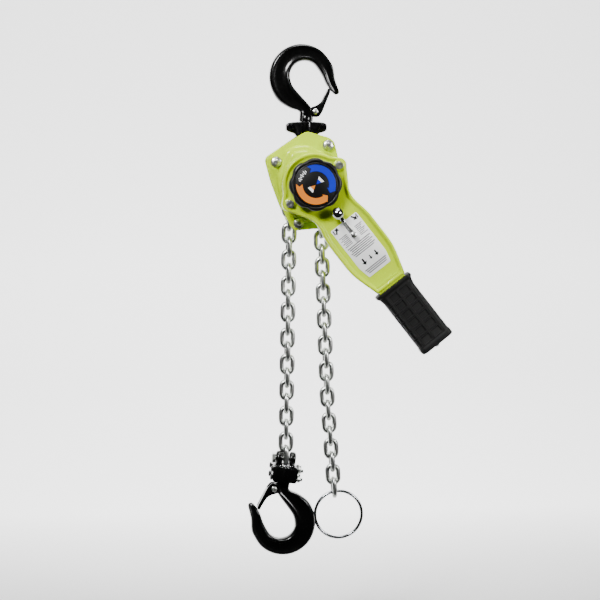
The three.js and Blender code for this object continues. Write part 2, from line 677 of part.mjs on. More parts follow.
function chainOnSheave() {
  const links = [];
  const point = (i) => {
    const angle = radians(188 - 36 * i);
    return new THREE.Vector2(pocketRadius * Math.cos(angle), pocketRadius * Math.sin(angle));
  };
  const between = (a, b, edgeOn) => {
    const middle = a.clone().add(b).multiplyScalar(0.5);
    const along = b.clone().sub(a).normalize();
    links.push(linkAt(middle.x, middle.y, along.x, along.y, edgeOn));
  };
  for (const [i, edgeOn] of [[0, true], [1, false], [2, true]]) {
    const share = i / 2;
    const x = loadTop[0] + share * (-pocketRadius + 0.2 - loadTop[0]);
    links.push(linkAt(x, loadTop[1] + pitch * i, -0.016, -1, edgeOn));
  }
  for (let i = 0; i < 6; i += 1) {
    between(point(i), point(i + 1), i % 2 === 1);
  }
  const leave = point(6);
  const arrive = new THREE.Vector2(slackTop[0], slackTop[1] + pitch / 2);
  const slackBend = new THREE.QuadraticBezierCurve(leave, new THREE.Vector2(53, -53), arrive);
  [1 / 6, 3 / 6, 5 / 6].forEach((share, i) => {
    const middle = slackBend.getPointAt(share);
    const along = slackBend.getTangentAt(share);
    links.push(linkAt(middle.x, middle.y, along.x, along.y, i === 1));
  });
  links.push(linkAt(slackTop[0], slackTop[1], 0, -1, true));
  return links.reduce((all, link) => all.add(link));
}
piece("chain_on_sheave", chainOnSheave(), zinc, head);

function hangingChain(name, start, leans, counts) {
  let [x, z] = start;
  let last = start;
  ["upper", "middle", "lower"].forEach((label, i) => {
    const length = straightLength(x, z, leans[i], counts[i]);
    piece(`${name}_${label}`, length.solid, zinc, hoist);
    [x, z] = length.next;
    last = length.last;
  });
  return last;
}

const loadStart = [axisX + loadTop[0] - 0.1, axisZ + loadTop[1] - loosePitch];
const slackStart = [axisX + slackTop[0] + 0.2, axisZ + slackTop[1] - loosePitch];
const loadLast = hangingChain("load_chain", loadStart, [-0.9, -0.9, -0.9], [6, 6, 6]);
const slackLast = hangingChain("slack_chain", slackStart, [2.15, 2.3, 4.3], [6, 6, 8]);

// ---- end ring ------------------------------------------------------------------------------------------

const ringRadius = 50.55;
const ringWire = 6.5;

function endRing() {
  const steps = 28;
  const centres = [];
  const normals = [];
  for (let i = 0; i < steps; i += 1) {
    const angle = 2 * Math.PI * i / steps;
    normals.push(new THREE.Vector2(Math.cos(angle), Math.sin(angle)));
    centres.push(normals[i].clone().multiplyScalar(ringRadius));
  }
  return closedLoop(centres, normals, ringWire / 2, 6);
}
const ringOffset = 9;               // the ring's centre hangs this far to the right of the last link
const ringPlay = 1;
const crownInside = slackLast[1] - (pitch + wire - fusedWire) / 2;
const ringDrop = Math.sqrt(ringRadius ** 2 - ringOffset ** 2);
const endRingMesh = piece("end_ring", endRing(), chrome, hoist);
endRingMesh.position.set(slackLast[0] + 1 + ringOffset, 0, crownInside + ringWire / 2 + ringPlay - ringDrop);

// ---- bottom block and hook, measured from the chain bolt ------------------------------------

const linkCrown = loadLast[1] - (pitch + wire - fusedWire) / 2;
block.position.set(loadLast[0], 0, linkCrown + chainBoltRadius + 2 * gap);
block.rotation.y = radians(blockTilt);

// Ears, columns and base disc stand on a neck whose flange is held inside the block.
function bottomFork() {
  const earProfile = [
    [0, slotHalf], [9, slotHalf], [13, 10], [15.6, 13], [15.6, 17], [12, 21.5], [0, 21.5]];
  const ear = turned(earProfile, 14);
  const rightEar = solidOf(geometryOf(ear).rotateZ(-Math.PI / 2));
  const belowDisc = box(-40, 40, -40, 40, -40, -11.7);
  const right = rightEar.add(box(slotHalf, 20, -12, 12, -12, 0)).subtract(belowDisc);
  const left = solidOf(geometryOf(right).rotateZ(Math.PI));
  const disc = rodZ(22, -11.7, -8, 0, 0, 20);
  const neck = rodZ(17, -23.2, -9, 0, 0, 24);
  const flange = rodZ(20, -27, -23, 0, 0, 24);
  const slot = box(-slotHalf, slotHalf, -17.4, 17.4, -17, 40);
  const bore = rodX(chainBoltRadius + gap, -40, 40, 0, 0, 16);
  return disc.add(neck).add(flange).subtract(slot).add(right).add(left).subtract(bore);
}

function blockSolid() {
  const core = box(-blockHalfWidth, blockHalfWidth, -blockCoreHalf, blockCoreHalf, -48, -17);
  const flangeShape = outline([[15, -48.5], [23, -48.5], [27, -44], [27, -17], [23, -12.5], [15, -12.5]]);
  const rightFlange = slab(flangeShape, -blockFlangeHalf, blockFlangeHalf);
  const leftFlange = solidOf(geometryOf(rightFlange).rotateZ(Math.PI));
  const corners = outline([
    [-23, -48], [23, -48], [27, -44], [27, -17], [23, -12.5], [-23, -12.5], [-27, -17], [-27, -44]]);
  return core.add(rightFlange).add(leftFlange).intersect(slab(corners, -40, 40));
}

// The room inside the block: ball race, neck and flange of the fork, upset head and shank of the hook.
function blockRoom() {
  const steps = [
    [22.7, -17, -10], [17.4, -23.2, -10], [20.4, -27.3, -22.7], [shankHead + gap, -36.4, -29.6],
    [shankRadius + gap, -60, -29.8]];
  return steps.map(([radius, z0, z1]) => rodZ(radius, z0, z1, 0, 0, 24)).reduce((all, step) => all.add(step));
}

function blockHalf(side) {
  let half = blockSolid().subtract(blockRoom());
  for (const z of blockBolts) {
    for (const depth of [-blockBoltDepth, blockBoltDepth]) {
      half = half.subtract(rodX(blockBoltRadius + gap, -60, 60, depth, z, 12));
    }
  }
  return half.intersect(side < 0 ? box(-60, -0.2, -60, 60, -60, 0) : box(0.2, 60, -60, 60, -60, 0));
}

function clampBolt(z) {
  const shank = rodX(blockBoltRadius, -29, 34, -blockBoltDepth, z, 10);
  const roundHead = rodX(6.3, -31.5, -blockHalfWidth - 0.3, -blockBoltDepth, z, 12);
  const nut = rodX(7.5, blockHalfWidth + 0.3, 33, -blockBoltDepth, z, 6);
  return shank.add(roundHead).add(nut);
}

piece("bottom_fork", bottomFork(), blackPaint, block);
piece("chain_bolt", rodX(chainBoltRadius, -22, 20.5, 0, 0, 16).add(rodX(11, -30, -22, 0, 0, 6)), zinc, block);
const ballTorus = new THREE.TorusGeometry(20.1, 2.1, 6, 20).translate(0, 0, -14.35);
piece("swivel_ball_ring", solidOf(ballTorus), chrome, block);
piece("bottom_block_left", blockHalf(-1), blackPaint, block);
piece("bottom_block_right", blockHalf(1), blackPaint, block);
blockBolts.forEach((z, i) => piece(`block_bolt_${i + 1}`, clampBolt(z), zinc, block));

const bottomHook = new THREE.Group();
bottomHook.rotation.y = Math.PI;
bottomHook.position.set(shankOffset, 0, -hookDrop);
block.add(bottomHook);
piece("bottom_hook", hookSolid(), blackPaint, bottomHook);
piece("bottom_hook_latch", latchSolid(), blackPaint, bottomHook);
piece("bottom_hook_latch_pin", latchPinSolid(), zinc, bottomHook);

export default hoist;
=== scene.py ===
import json
import math

import bmesh
import bpy
from mathutils import Matrix, Vector


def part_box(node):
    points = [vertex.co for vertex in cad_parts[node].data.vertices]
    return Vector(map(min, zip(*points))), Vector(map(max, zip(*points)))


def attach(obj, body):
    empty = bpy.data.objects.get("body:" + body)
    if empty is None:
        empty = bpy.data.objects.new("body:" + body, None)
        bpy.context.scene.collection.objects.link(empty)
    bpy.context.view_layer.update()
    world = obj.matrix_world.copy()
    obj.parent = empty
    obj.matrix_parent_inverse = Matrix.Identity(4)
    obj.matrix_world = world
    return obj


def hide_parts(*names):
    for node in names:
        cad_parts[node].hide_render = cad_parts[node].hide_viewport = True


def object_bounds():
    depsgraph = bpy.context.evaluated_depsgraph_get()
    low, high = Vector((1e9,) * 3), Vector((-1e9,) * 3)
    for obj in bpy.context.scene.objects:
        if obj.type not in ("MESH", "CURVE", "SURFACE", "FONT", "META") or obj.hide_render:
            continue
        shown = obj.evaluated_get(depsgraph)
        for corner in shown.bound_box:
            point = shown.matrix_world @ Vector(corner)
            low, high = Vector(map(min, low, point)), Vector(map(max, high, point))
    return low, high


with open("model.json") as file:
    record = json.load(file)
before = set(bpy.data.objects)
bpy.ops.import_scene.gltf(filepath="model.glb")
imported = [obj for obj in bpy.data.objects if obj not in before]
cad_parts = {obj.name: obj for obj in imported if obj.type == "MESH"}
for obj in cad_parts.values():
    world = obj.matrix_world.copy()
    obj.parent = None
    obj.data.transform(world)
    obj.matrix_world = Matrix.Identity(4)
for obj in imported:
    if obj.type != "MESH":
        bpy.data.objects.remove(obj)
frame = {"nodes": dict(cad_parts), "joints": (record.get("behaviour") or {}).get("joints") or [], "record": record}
CAD_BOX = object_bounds()

# The looks of a lever chain hoist.

JOINTS = {joint["name"]: joint for joint in frame["joints"]}
MM = 0.001


def joint_place(name):
    return Vector(JOINTS[name]["pos_m"])


def frame_from(origin, x_axis, z_axis):
    """A matrix from millimetres in a part's frame to metres in the row's frame."""
    x_axis, z_axis = Vector(x_axis).normalized(), Vector(z_axis).normalized()
    y_axis = z_axis.cross(x_axis)
    turn = Matrix((x_axis, y_axis, z_axis)).transposed().to_4x4()
    return Matrix.Translation(origin) @ turn @ Matrix.Scale(MM, 4)


AXIS = joint_place("sheave_turn")
LEVER_DIRECTION = (joint_place("selector_swing") - AXIS).normalized()
SELECTOR_PIVOT = (joint_place("selector_swing") - AXIS).length / MM
LEVER_SIDE = Vector((-LEVER_DIRECTION.z, 0, LEVER_DIRECTION.x))
BLOCK_X = Vector(JOINTS["chain_bolt_hinge"]["axis"])
BLOCK_Z = Vector(JOINTS["hook_swivel"]["axis"])

ROW = frame_from((0, 0, 0), (1, 0, 0), (0, 0, 1))
HEAD = frame_from(AXIS, (1, 0, 0), (0, 0, 1))
LEVER = frame_from(AXIS, LEVER_DIRECTION, LEVER_SIDE)
BLOCK = frame_from(joint_place("chain_bolt_hinge"), BLOCK_X, BLOCK_Z)

SHANK_OFFSET = 3          # shank axis from the centre line of a hook's bowl
HOOK_DROP = 172           # chain bolt to the bearing point of the bottom hook
TOP_HOOK = ROW
BOTTOM_HOOK = BLOCK @ Matrix.Translation((SHANK_OFFSET, 0, -HOOK_DROP)) @ Matrix.Rotation(math.pi, 4, "Y")

LEVER_FRONT, LEVER_SPLIT, LEVER_REAR = 87, 73.5, 60
LEVER_SCREW = 65          # lever screws to the sheave's axis
COVER_FACE = 28           # outer face of both covers' flanges, from the chain plane
GRIP_START, GRIP_END = 266, 424
GRIP_MIDDLE = 73.5        # depth of the grip's middle in front of the chain plane
KNOB_REAR, KNOB_FRONT = 90, 116
POINT = 0.02              # a radius too small to see, which closes a turned end


# ---- materials -------------------------------------------------------------------------

def linear(colour):
    """An sRGB colour, 0 to 255, as the linear RGBA that shaders take."""
    def channel(value):
        value /= 255
        return value / 12.92 if value <= 0.04045 else ((value + 0.055) / 1.055) ** 2.4
    return (*[channel(value) for value in colour], 1)


def material(name, light, dark, roughness, metallic=0.0, coat=0.0, grain=60, mottle=12,
             bump=0.05, rough_range=0.08, specular=0.5):
    """A surface with soft colour variation at the mottle scale and fine bump at the grain scale."""
    made = bpy.data.materials.new(name)
    made.use_nodes = True
    nodes, links = made.node_tree.nodes, made.node_tree.links
    shader = nodes["Principled BSDF"]
    shader.inputs["Metallic"].default_value = metallic
    shader.inputs["Coat Weight"].default_value = coat
    shader.inputs["Coat Roughness"].default_value = 0.06
    shader.inputs["Specular IOR Level"].default_value = specular
    place = nodes.new("ShaderNodeTexCoord")
    broad = nodes.new("ShaderNodeTexNoise")
    broad.inputs["Scale"].default_value = mottle
    broad.inputs["Detail"].default_value = 5
    links.new(place.outputs["Object"], broad.inputs["Vector"])
    ramp = nodes.new("ShaderNodeValToRGB")
    ramp.color_ramp.elements[0].position = 0.35
    ramp.color_ramp.elements[1].position = 0.65
    ramp.color_ramp.elements[0].color = linear(dark)
    ramp.color_ramp.elements[1].color = linear(light)
    links.new(broad.outputs["Fac"], ramp.inputs["Fac"])
    links.new(ramp.outputs["Color"], shader.inputs["Base Color"])
    fine = nodes.new("ShaderNodeTexNoise")
    fine.inputs["Scale"].default_value = grain
    fine.inputs["Detail"].default_value = 4
    links.new(place.outputs["Object"], fine.inputs["Vector"])
    spread = nodes.new("ShaderNodeMapRange")
    spread.inputs["To Min"].default_value = roughness - rough_range
    spread.inputs["To Max"].default_value = roughness + rough_range
    links.new(fine.outputs["Fac"], spread.inputs["Value"])
    links.new(spread.outputs["Result"], shader.inputs["Roughness"])
    relief = nodes.new("ShaderNodeBump")
    relief.inputs["Strength"].default_value = bump
    relief.inputs["Distance"].default_value = 0.0006
    links.new(fine.outputs["Fac"], relief.inputs["Height"])
    links.new(relief.outputs["Normal"], shader.inputs["Normal"])
    return made


def printed(name, light, dark, roughness=0.4):
    """A flat printed or plastic film, with hardly any relief."""
    return material(name, light, dark, roughness, grain=300, mottle=20, bump=0.01)


LIME = material("lime_gloss_paint", (202, 232, 0), (192, 222, 0), 0.26, coat=0.3, grain=350,
                mottle=9, bump=0.05, specular=0.3)
BLACK = material("black_enamel_on_forging", (5, 5, 5), (2, 2, 2), 0.22, coat=0.35, grain=170,
                 mottle=30, bump=0.3, specular=0.35)
ZINC = material("bright_zinc_plate", (238, 240, 236), (206, 209, 204), 0.3, metallic=1.0, grain=420,
                mottle=90, bump=0.12)
CHROME = material("polished_chrome", (226, 228, 231), (200, 202, 206), 0.08, metallic=1.0, grain=300,
                  mottle=40, bump=0.02, rough_range=0.03)
RING_STEEL = material("polished_ring_steel", (190, 192, 196), (166, 168, 172), 0.2, metallic=1.0, grain=300,
                      mottle=40, bump=0.02, rough_range=0.04)
BLACK_OXIDE = material("black_oxide_screw", (44, 44, 46), (30, 30, 32), 0.3, metallic=1.0, grain=400,
                       mottle=80, bump=0.1)
STEEL = material("machined_oiled_steel", (158, 160, 163), (118, 120, 123), 0.38, metallic=1.0, grain=500,
                 mottle=60, bump=0.12)
PLASTIC = material("satin_black_plastic", (10, 10, 10), (5, 5, 5), 0.36, grain=900, mottle=40, bump=0.15,
                   specular=0.4)
RUBBER = material("moulded_black_rubber", (14, 14, 13), (8, 8, 8), 0.55, grain=1100, mottle=50, bump=0.3,
                  specular=0.3)
LINING = material("pressed_brake_lining", (104, 82, 66), (78, 60, 47), 0.85, grain=700, mottle=200, bump=0.5)
LABEL = printed("white_label_film", (252, 252, 252), (246, 246, 246), 0.35)
INK = printed("black_print", (10, 10, 10), (5, 5, 5))
GREY_INK = printed("grey_print", (84, 84, 88), (70, 70, 74))
BLUE = printed("blue_print", (0, 32, 190), (0, 24, 172), 0.38)
ORANGE = printed("orange_print", (222, 124, 0), (214, 116, 0), 0.5)

SLOT_LOOKS = {
    "lime_paint": LIME, "black_paint": BLACK, "zinc": ZINC, "chrome": CHROME, "machined_steel": STEEL,
    "friction_lining": LINING, "black_plastic": PLASTIC, "rubber": RUBBER,
}


# ---- mesh building ---------------------------------------------------------------------

def around(count):
    """Equal steps of angle round a full turn."""
    return [2 * math.pi * i / count for i in range(count)]


def soften(part, width, degrees):
    """A bevel on the edges of an object that turn by more than the angle."""
    edge = part.modifiers.new("edge", "BEVEL")
    edge.width = width * MM
    edge.segments = 2
    edge.limit_method = "ANGLE"
    edge.angle_limit = math.radians(degrees)


class Shape:
    """Closed surfaces gathered into one piece, in millimetres in the frame of its part."""

    def __init__(self):
        self.mesh = bmesh.new()

    def skin(self, rings, closed=False, look=0):
        """A surface over rings of points, joined end to end if closed and capped if not."""
        rows = [[self.mesh.verts.new(point) for point in ring] for ring in rings]
        count = len(rows[0])
        made = []
        spans = len(rows) if closed else len(rows) - 1
        for i in range(spans):
            here, there = rows[i], rows[(i + 1) % len(rows)]
            for j in range(count):
                k = (j + 1) % count
                made.append(self.mesh.faces.new((here[j], here[k], there[k], there[j])))
        if not closed:
            made.append(self.mesh.faces.new(list(reversed(rows[0]))))
            made.append(self.mesh.faces.new(rows[-1]))
        for face in made:
            face.material_index = look
        return self

    def turned(self, profile, centre=(0, 0, 0), axis="Y", sides=48, look=0):
        """A surface of revolution from (radius, place along the axis) points; its ends are closed."""
        rings = []
        for radius, along in profile:
            ring = []
            for angle in around(sides):
                a, b = max(radius, POINT) * math.cos(angle), max(radius, POINT) * math.sin(angle)
                point = {"X": (along, a, b), "Y": (a, along, -b), "Z": (a, b, along)}[axis]
                ring.append(Vector(point) + Vector(centre))
            rings.append(ring)
        return self.skin(rings, look=look)

    def layered(self, outline, layers, look=0):
        """An outline in XZ carried through (inset, y) layers, so edges can be rounded and faces stepped."""
        rings = [[Vector((x, y, z)) for x, z in inset_outline(outline, inset)] for inset, y in layers]
        return self.skin(rings, look=look)

    def box(self, low, high, look=0):
        (x0, y0, z0), (x1, y1, z1) = low, high
        rings = [[Vector((x, y, z)) for x, z in ((x0, z0), (x1, z0), (x1, z1), (x0, z1))] for y in (y0, y1)]
        return self.skin(rings, look=look)

    def finish(self, name, place, body, slot, looks, replaces=(), bevel=0.0, smooth_angle=40):
        """Makes the object, places it in the row's frame and lets it ride on its body."""
        bmesh.ops.recalc_face_normals(self.mesh, faces=self.mesh.faces)
        data = bpy.data.meshes.new(name)
        self.mesh.to_mesh(data)
        self.mesh.free()
        data.transform(place)
        made = bpy.data.objects.new(name, data)
        bpy.context.scene.collection.objects.link(made)
        for look in looks:
            data.materials.append(look)
        data.shade_smooth()
        if bevel:
            soften(made, bevel, 35)
        sharpen(data, smooth_angle)
        if replaces:
            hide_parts(*replaces)
        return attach(made, body)


def sharpen(data, degrees):
    """Marks as sharp the edges that turn by more than the angle."""
    work = bmesh.new()
    work.from_mesh(data)
    for edge in work.edges:
        edge.smooth = len(edge.link_faces) == 2 and edge.calc_face_angle(0) < math.radians(degrees)
    work.to_mesh(data)
    work.free()


def inset_outline(outline, inset):
    """The outline moved inwards by the inset, corner by corner."""
    if inset == 0:
        return outline
    moved = []
    area = sum(a[0] * b[1] - b[0] * a[1] for a, b in zip(outline, outline[1:] + outline[:1]))
    turn = 1 if area > 0 else -1
    for i, here in enumerate(outline):
        before, after = outline[i - 1], outline[(i + 1) % len(outline)]
        first = Vector((here[0] - before[0], here[1] - before[1])).normalized()
        second = Vector((after[0] - here[0], after[1] - here[1])).normalized()
        normal = Vector((-(first.y + second.y), first.x + second.x)).normalized() * turn
        stretch = inset / max(0.5, normal.dot(Vector((-first.y, first.x)) * turn))
        moved.append((here[0] + normal.x * stretch, here[1] + normal.y * stretch))
    return moved


def rounded(points, radius, steps=5):
    """The closed outline of the points with each corner rounded by a quadratic curve."""
    smooth = []
    for i, point in enumerate(points):
        corner = Vector(point)
        before, after = Vector(points[i - 1]) - corner, Vector(points[(i + 1) % len(points)]) - corner
        reach = min(radius, before.length / 2.05, after.length / 2.05)
        start, end = corner + before.normalized() * reach, corner + after.normalized() * reach
        for j in range(steps + 1):
            t = j / steps
            smooth.append(tuple(start * (1 - t) ** 2 + corner * 2 * t * (1 - t) + end * t ** 2))
    return smooth


def arc(x, z, radius, start, end, steps):
    """Points along an arc from the start angle to the end angle, in degrees."""
    angles = [math.radians(start + (end - start) * i / steps) for i in range(steps + 1)]
    return [(x + radius * math.cos(angle), z + radius * math.sin(angle)) for angle in angles]


def smooth_through(rows, steps):
    """Rows of numbers filled in along a Catmull-Rom curve."""
    filled = []
    for i in range(len(rows) - 1):
        a, b, c, d = rows[max(i - 1, 0)], rows[i], rows[i + 1], rows[min(i + 2, len(rows) - 1)]
        for j in range(steps):
            t = j / steps
            filled.append([0.5 * (2 * q + (r - p) * t + (2 * p - 5 * q + 4 * r - s) * t * t
                                  + (3 * q - p - 3 * r + s) * t ** 3) for p, q, r, s in zip(a, b, c, d)])
    return filled + [list(rows[-1])]


# ---- fasteners -------------------------------------------------------------------------

THREAD_PITCH = 1.25


def hexagon(shape, centre, axis, across, start, end, look=0, turn=0.0):
    """A hexagon nut or head with its corners chamfered at both faces."""
    corner = across / math.sqrt(3)
    chamfer = across * 0.06
    ends = (start, end) if start < end else (end, start)
    rings = []
    for along, radius in ((ends[0], corner - chamfer), (ends[0] + chamfer * 0.6, corner),
                          (ends[1] - chamfer * 0.6, corner), (ends[1], corner - chamfer)):
        ring = []
        for j in range(6):
            angle = math.pi * j / 3 + turn
            a, b = radius * math.cos(angle), radius * math.sin(angle)
            ring.append(Vector({"X": (along, a, b), "Y": (a, along, -b)}[axis]) + Vector(centre))
        rings.append(ring)
    shape.skin(rings, look=look)


def thread(shape, centre, axis, radius, start, end, look=0):
    """A threaded end: a zigzag profile with a rounded point."""
    step = THREAD_PITCH if end > start else -THREAD_PITCH
    turns = int(abs(end - start) / THREAD_PITCH)
    profile = [(0, start), (radius, start)]
    for i in range(turns):
        profile += [(radius, start + step * (i + 0.2)), (radius - 0.8, start + step * (i + 0.6))]
    profile += [(radius - 1.6, end), (0, end)]
    shape.turned(profile, centre, axis, 20, look)


# ---- hooks -----------------------------------------------------------------------------

BOWL_RADIUS = 31
OUTER_RADIUS = 69.3
LATCH_PIVOT = (22, -106)


def hook_rows():
    """Inner edge, outer edge and half thickness of the hook, from its neck round to its tip."""
    rows = [
        [17.5, -126, -12, -126, 11.5], [17.5, -114, -11, -114.5, 11.5], [14, -98, -13, -105.5, 12.4],
        [3.5, -84.5, -33, -98.5, 13], [-12, -67.5, -56, -83.5, 13.8], [-25.5, -50.5, -70, -60.5, 14],
    ]
    for step in range(7):
        inner = math.radians(180 - 25 * step)
        outer = math.radians((180 - 25 * step) * 1.02 - 4)
        rows.append([BOWL_RADIUS * math.cos(inner), BOWL_RADIUS * (math.sin(inner) - 1),
                     -6 + OUTER_RADIUS * math.cos(outer), -33 + OUTER_RADIUS * math.sin(outer), 14])
    rows += [[37, -31, 61.5, -16, 12.8], [44, -46, 64, -35, 11.6], [51, -57, 68.5, -49, 10],
             [58, -65, 72.5, -60, 7.5], [63.5, -69.5, 73.2, -65.5, 4.2], [67, -70.6, 71.5, -68.6, 1.4]]
    return rows


def hook(name, place, body):
    """The forged hook: a raised lip along both edges of each cheek, round a sunken web."""
    half = [(-1, 0), (-0.985, 0.3), (-0.93, 0.62), (-0.84, 0.87), (-0.72, 0.985), (-0.6, 0.99), (-0.5, 0.93),
            (-0.4, 0.86), (-0.1, 0.83), (0.3, 0.84), (0.52, 0.88), (0.64, 0.95), (0.74, 0.96), (0.85, 0.84),
            (0.93, 0.6), (0.985, 0.3)]
    section = half + [(1, 0)] + [(across, -out) for across, out in half[:0:-1]]
    rings = []
    for inner_x, inner_z, outer_x, outer_z, thick in smooth_through(hook_rows(), 6):
        rings.append([Vector(((inner_x + outer_x) / 2 + across * (outer_x - inner_x) / 2, thick * out,
                              (inner_z + outer_z) / 2 + across * (outer_z - inner_z) / 2))
                      for across, out in section])
    shape = Shape().skin(rings)
    shank = [(0, -142), (14, -142), (14.3, -141), (14.3, -137), (10, -136), (10, -120), (0, -120)]
    shape.turned(shank, (SHANK_OFFSET, 0, 0), "Z", 32)
    collar = [(0, -127), (12.6, -127), (13, -126), (13, -118), (12, -115), (0, -115)]
    shape.turned(collar, (SHANK_OFFSET, 0, 0), "Z", 32)
    eye = [(0, -8.6), (9.4, -8.6), (10.2, -7.8), (10.2, 7.8), (9.4, 8.6), (0, 8.6)]
    shape.turned(eye, (LATCH_PIVOT[0], 0, LATCH_PIVOT[1]), "Y", 32)
    return shape.finish(name + "_forging", place, body, "black_paint", [BLACK], [name], smooth_angle=55)


def latch(name, place, body):
    """The pressed latch: two cheeks round the rivet, and a web that narrows to the hook's tip."""
    cheek = rounded([(11, -98), (12.5, -116), (29, -118), (36.5, -107), (53.4, -65), (53.4, -60.5),
                     (49.6, -57.2), (46, -64), (35, -86), (26, -92.5)], 5)
    web = rounded([(32.6, -104), (36.5, -107), (53.4, -62), (49.6, -57.2), (46.2, -62)], 2, 3)
    shape = Shape()
    for side in (-1, 1):
        layers = [(0.7, 12.3), (0.15, 12.1), (0, 11.6), (0, 9.6), (0.5, 9.3)]
        shape.layered(cheek, [(inset, side * y) for inset, y in layers])
    shape.layered(web, [(0, -11.9), (0, 11.9)])
    return shape.finish(name + "_pressing", place, body, "black_paint", [BLACK], [name])


def rivet(name, place, body):
    """The latch's rivet, with a domed head on each side and a dimple in the front one."""
    shape = Shape()
    profile = [(0, -15.4), (2.2, -15.6), (4.6, -15.2), (5.9, -14.2), (6.1, -12.9), (3.9, -12.8), (3.9, 12.8),
               (6.1, 12.9), (5.9, 14.2), (4.6, 15.2), (0, 15.5)]
    shape.turned(profile, (LATCH_PIVOT[0], 0, LATCH_PIVOT[1]), "Y", 32)
    dimple = [(0, -16.0), (1.4, -16.0), (2.0, -15.5), (0, -15.4)]
    shape.turned(dimple, (LATCH_PIVOT[0], 0, LATCH_PIVOT[1]), "Y", 20)
    return shape.finish(name + "_rivet", place, body, "zinc", [ZINC], [name])


# ---- top yoke --------------------------------------------------------------------------

YOKE_HEIGHT = -140
YOKE_SCREW = 33


def top_yoke():
    """Two forged halves round the shank, with ears, a barrel in the middle and a tongue below."""
    x, z = SHANK_OFFSET, YOKE_HEIGHT
    right = [(12, z + 12.5), (25, z + 12), (36, z + 11), (43, z + 7.5), (43, z - 6), (36, z - 9.5),
             (26, z - 12), (22, z - 17), (14, z - 36), (12, z - 44.5)]
    ears = rounded([(x + a, b) for a, b in right] + [(x - a, b) for a, b in reversed(right)], 8)
    for name, side in (("top_yoke_front", -1), ("top_yoke_rear", 1)):
        shape = Shape()
        layers = [(0.3, 0.3), (0, 0.6), (0, 12), (0.5, 13.6), (2, 14.6)]
        shape.layered(ears, [(inset, side * y) for inset, y in layers])
        barrel = []
        for height in (-17, -14, 8, 11, 12.2):
            bulge = 5.2 - (2.2 if height in (-17, 12.2) else 0)
            barrel.append([Vector((x + 11 * math.cos(a), side * (12.8 + bulge * math.sin(a)), z + height))
                           for a in (0, 0.5, 1.1, math.pi / 2, math.pi - 1.1, math.pi - 0.5, math.pi)])
        shape.skin(barrel)
        for ear in (-1, 1):
            pad = [(0, side * 12), (8.6, side * 12), (8.6, side * 16), (7.8, side * 16.8), (0, side * 16.8)]
            shape.turned(pad, (x + ear * YOKE_SCREW, 0, z), "Y", 32)
        shape.finish(name + "_forging", ROW, "top_yoke", "black_paint", [BLACK], [name])
    for side, label in ((-1, "left"), (1, "right")):
        centre = (x + side * YOKE_SCREW, 0, z)
        shape = Shape()
        socket_screw(shape, centre, 6.3, -21.5, -16.6, 3.4)
        shape.turned([(0, -17), (4, -17), (4, 17), (0, 17)], centre, "Y", 20)
        hexagon(shape, centre, "Y", 11.3, 16.8, 22.4)
        shape.finish(f"top_yoke_screw_{label}", ROW, "top_yoke", "black_paint", [BLACK_OXIDE],
                     [f"top_yoke_bolt_{label}"])


def socket_screw(shape, centre, radius, face, seat, key):
    """A cylinder-head screw with a hexagon recess in its face."""
    x, y, z = centre
    sides = 24
    rings = []
    for size, along in ((POINT, seat), (radius, seat), (radius, face + 0.8), (radius - 0.8, face)):
        rings.append([Vector((x + size * math.cos(angle), y + along, z - size * math.sin(angle)))
                      for angle in around(sides)])
    for size, along in ((key, face), (key, face + 3), (POINT, face + 3)):
        ring = []
        for angle in around(sides):
            flat = math.cos(math.pi / 6) / math.cos((angle + math.pi / 6) % (math.pi / 3) - math.pi / 6)
            reach = size * flat
            ring.append(Vector((x + reach * math.cos(angle), y + along, z - reach * math.sin(angle))))
        rings.append(ring)
    shape.skin(rings)


# ---- covers and stay bolts -------------------------------------------------------------

HEAD_CORNERS = [
    (-33, 100), (-15, 110), (-7, 111), (7, 107), (24, 102), (36, 99), (47, 90), (50, 80), (55, 60),
    (62, 0), (62, -60), (45, -95), (7.5, -93), (-36, -97), (-45, -88), (-54, -70), (-67, -40),
    (-85, 9), (-96, 51), (-93, 59)]
FLANGE_LAYERS = [(1.4, 25.5), (0.3, 25.7), (0, 26.3), (0, 27.2), (0.4, 27.8), (1.4, COVER_FACE)]
STAY_PLACES = [(89, 67.6), (89, 148), (85.7, 250.9)]     # distance and angle from the sheave's axis


def polar(radius, degrees):
    return radius * math.cos(math.radians(degrees)), radius * math.sin(math.radians(degrees))


def brake_cover():
    """A pressed cover: flat flange, a long raised step, and the round drum of the brake on it."""
    flange = rounded(HEAD_CORNERS, 9, 4)
    step = rounded([(-56, 76), (-26, 84), (-4, 82), (8, 74), (40, 66), (58, 30), (58, -40), (30, -80),
                    (-28, -78), (-62, -46), (-74, -6), (-76, 18), (-66, 42)], 15, 6)
    shape = Shape()
    shape.layered(flange, [(inset, -y) for inset, y in FLANGE_LAYERS])
    shape.layered(step, [(0, -27.2), (0.4, -29), (2, -33), (4.5, -35.4), (8, -36.4)])
    inner = inset_outline(step, 10)
    shape.layered(inner, [(0, -35.5), (0.5, -37), (2.5, -41), (5.5, -43.4), (9, -44)])
    drum = [(0, -40), (66, -40), (66, -46), (65, -50), (61, -54.4), (55, -57.2), (48, -57.6), (0, -57.6)]
    shape.turned(drum, sides=72)
    shape.finish("brake_cover_pressing", HEAD, "hoist_frame", "lime_paint", [LIME], ["brake_cover"],
                 smooth_angle=60)


def gear_cover():
    """The rear cover: a flange and a domed drum with a ringed face."""
    flange = rounded(HEAD_CORNERS, 9, 4)
    shape = Shape()
    shape.layered(flange, FLANGE_LAYERS)
    dome = [(0, 26), (76, 26), (75, 29), (74, 32), (74, 58), (72.6, 63.5), (69, 67.6), (63.5, 69.6),
            (58, 70), (52, 70), (50.5, 68.8), (46, 68.4), (24, 68.4), (22.5, 69), (21, 70), (0, 70)]
    shape.turned(dome, sides=72)
    shape.finish("gear_cover_pressing", HEAD, "hoist_frame", "lime_paint", [LIME], ["gear_cover"],
                 smooth_angle=60)


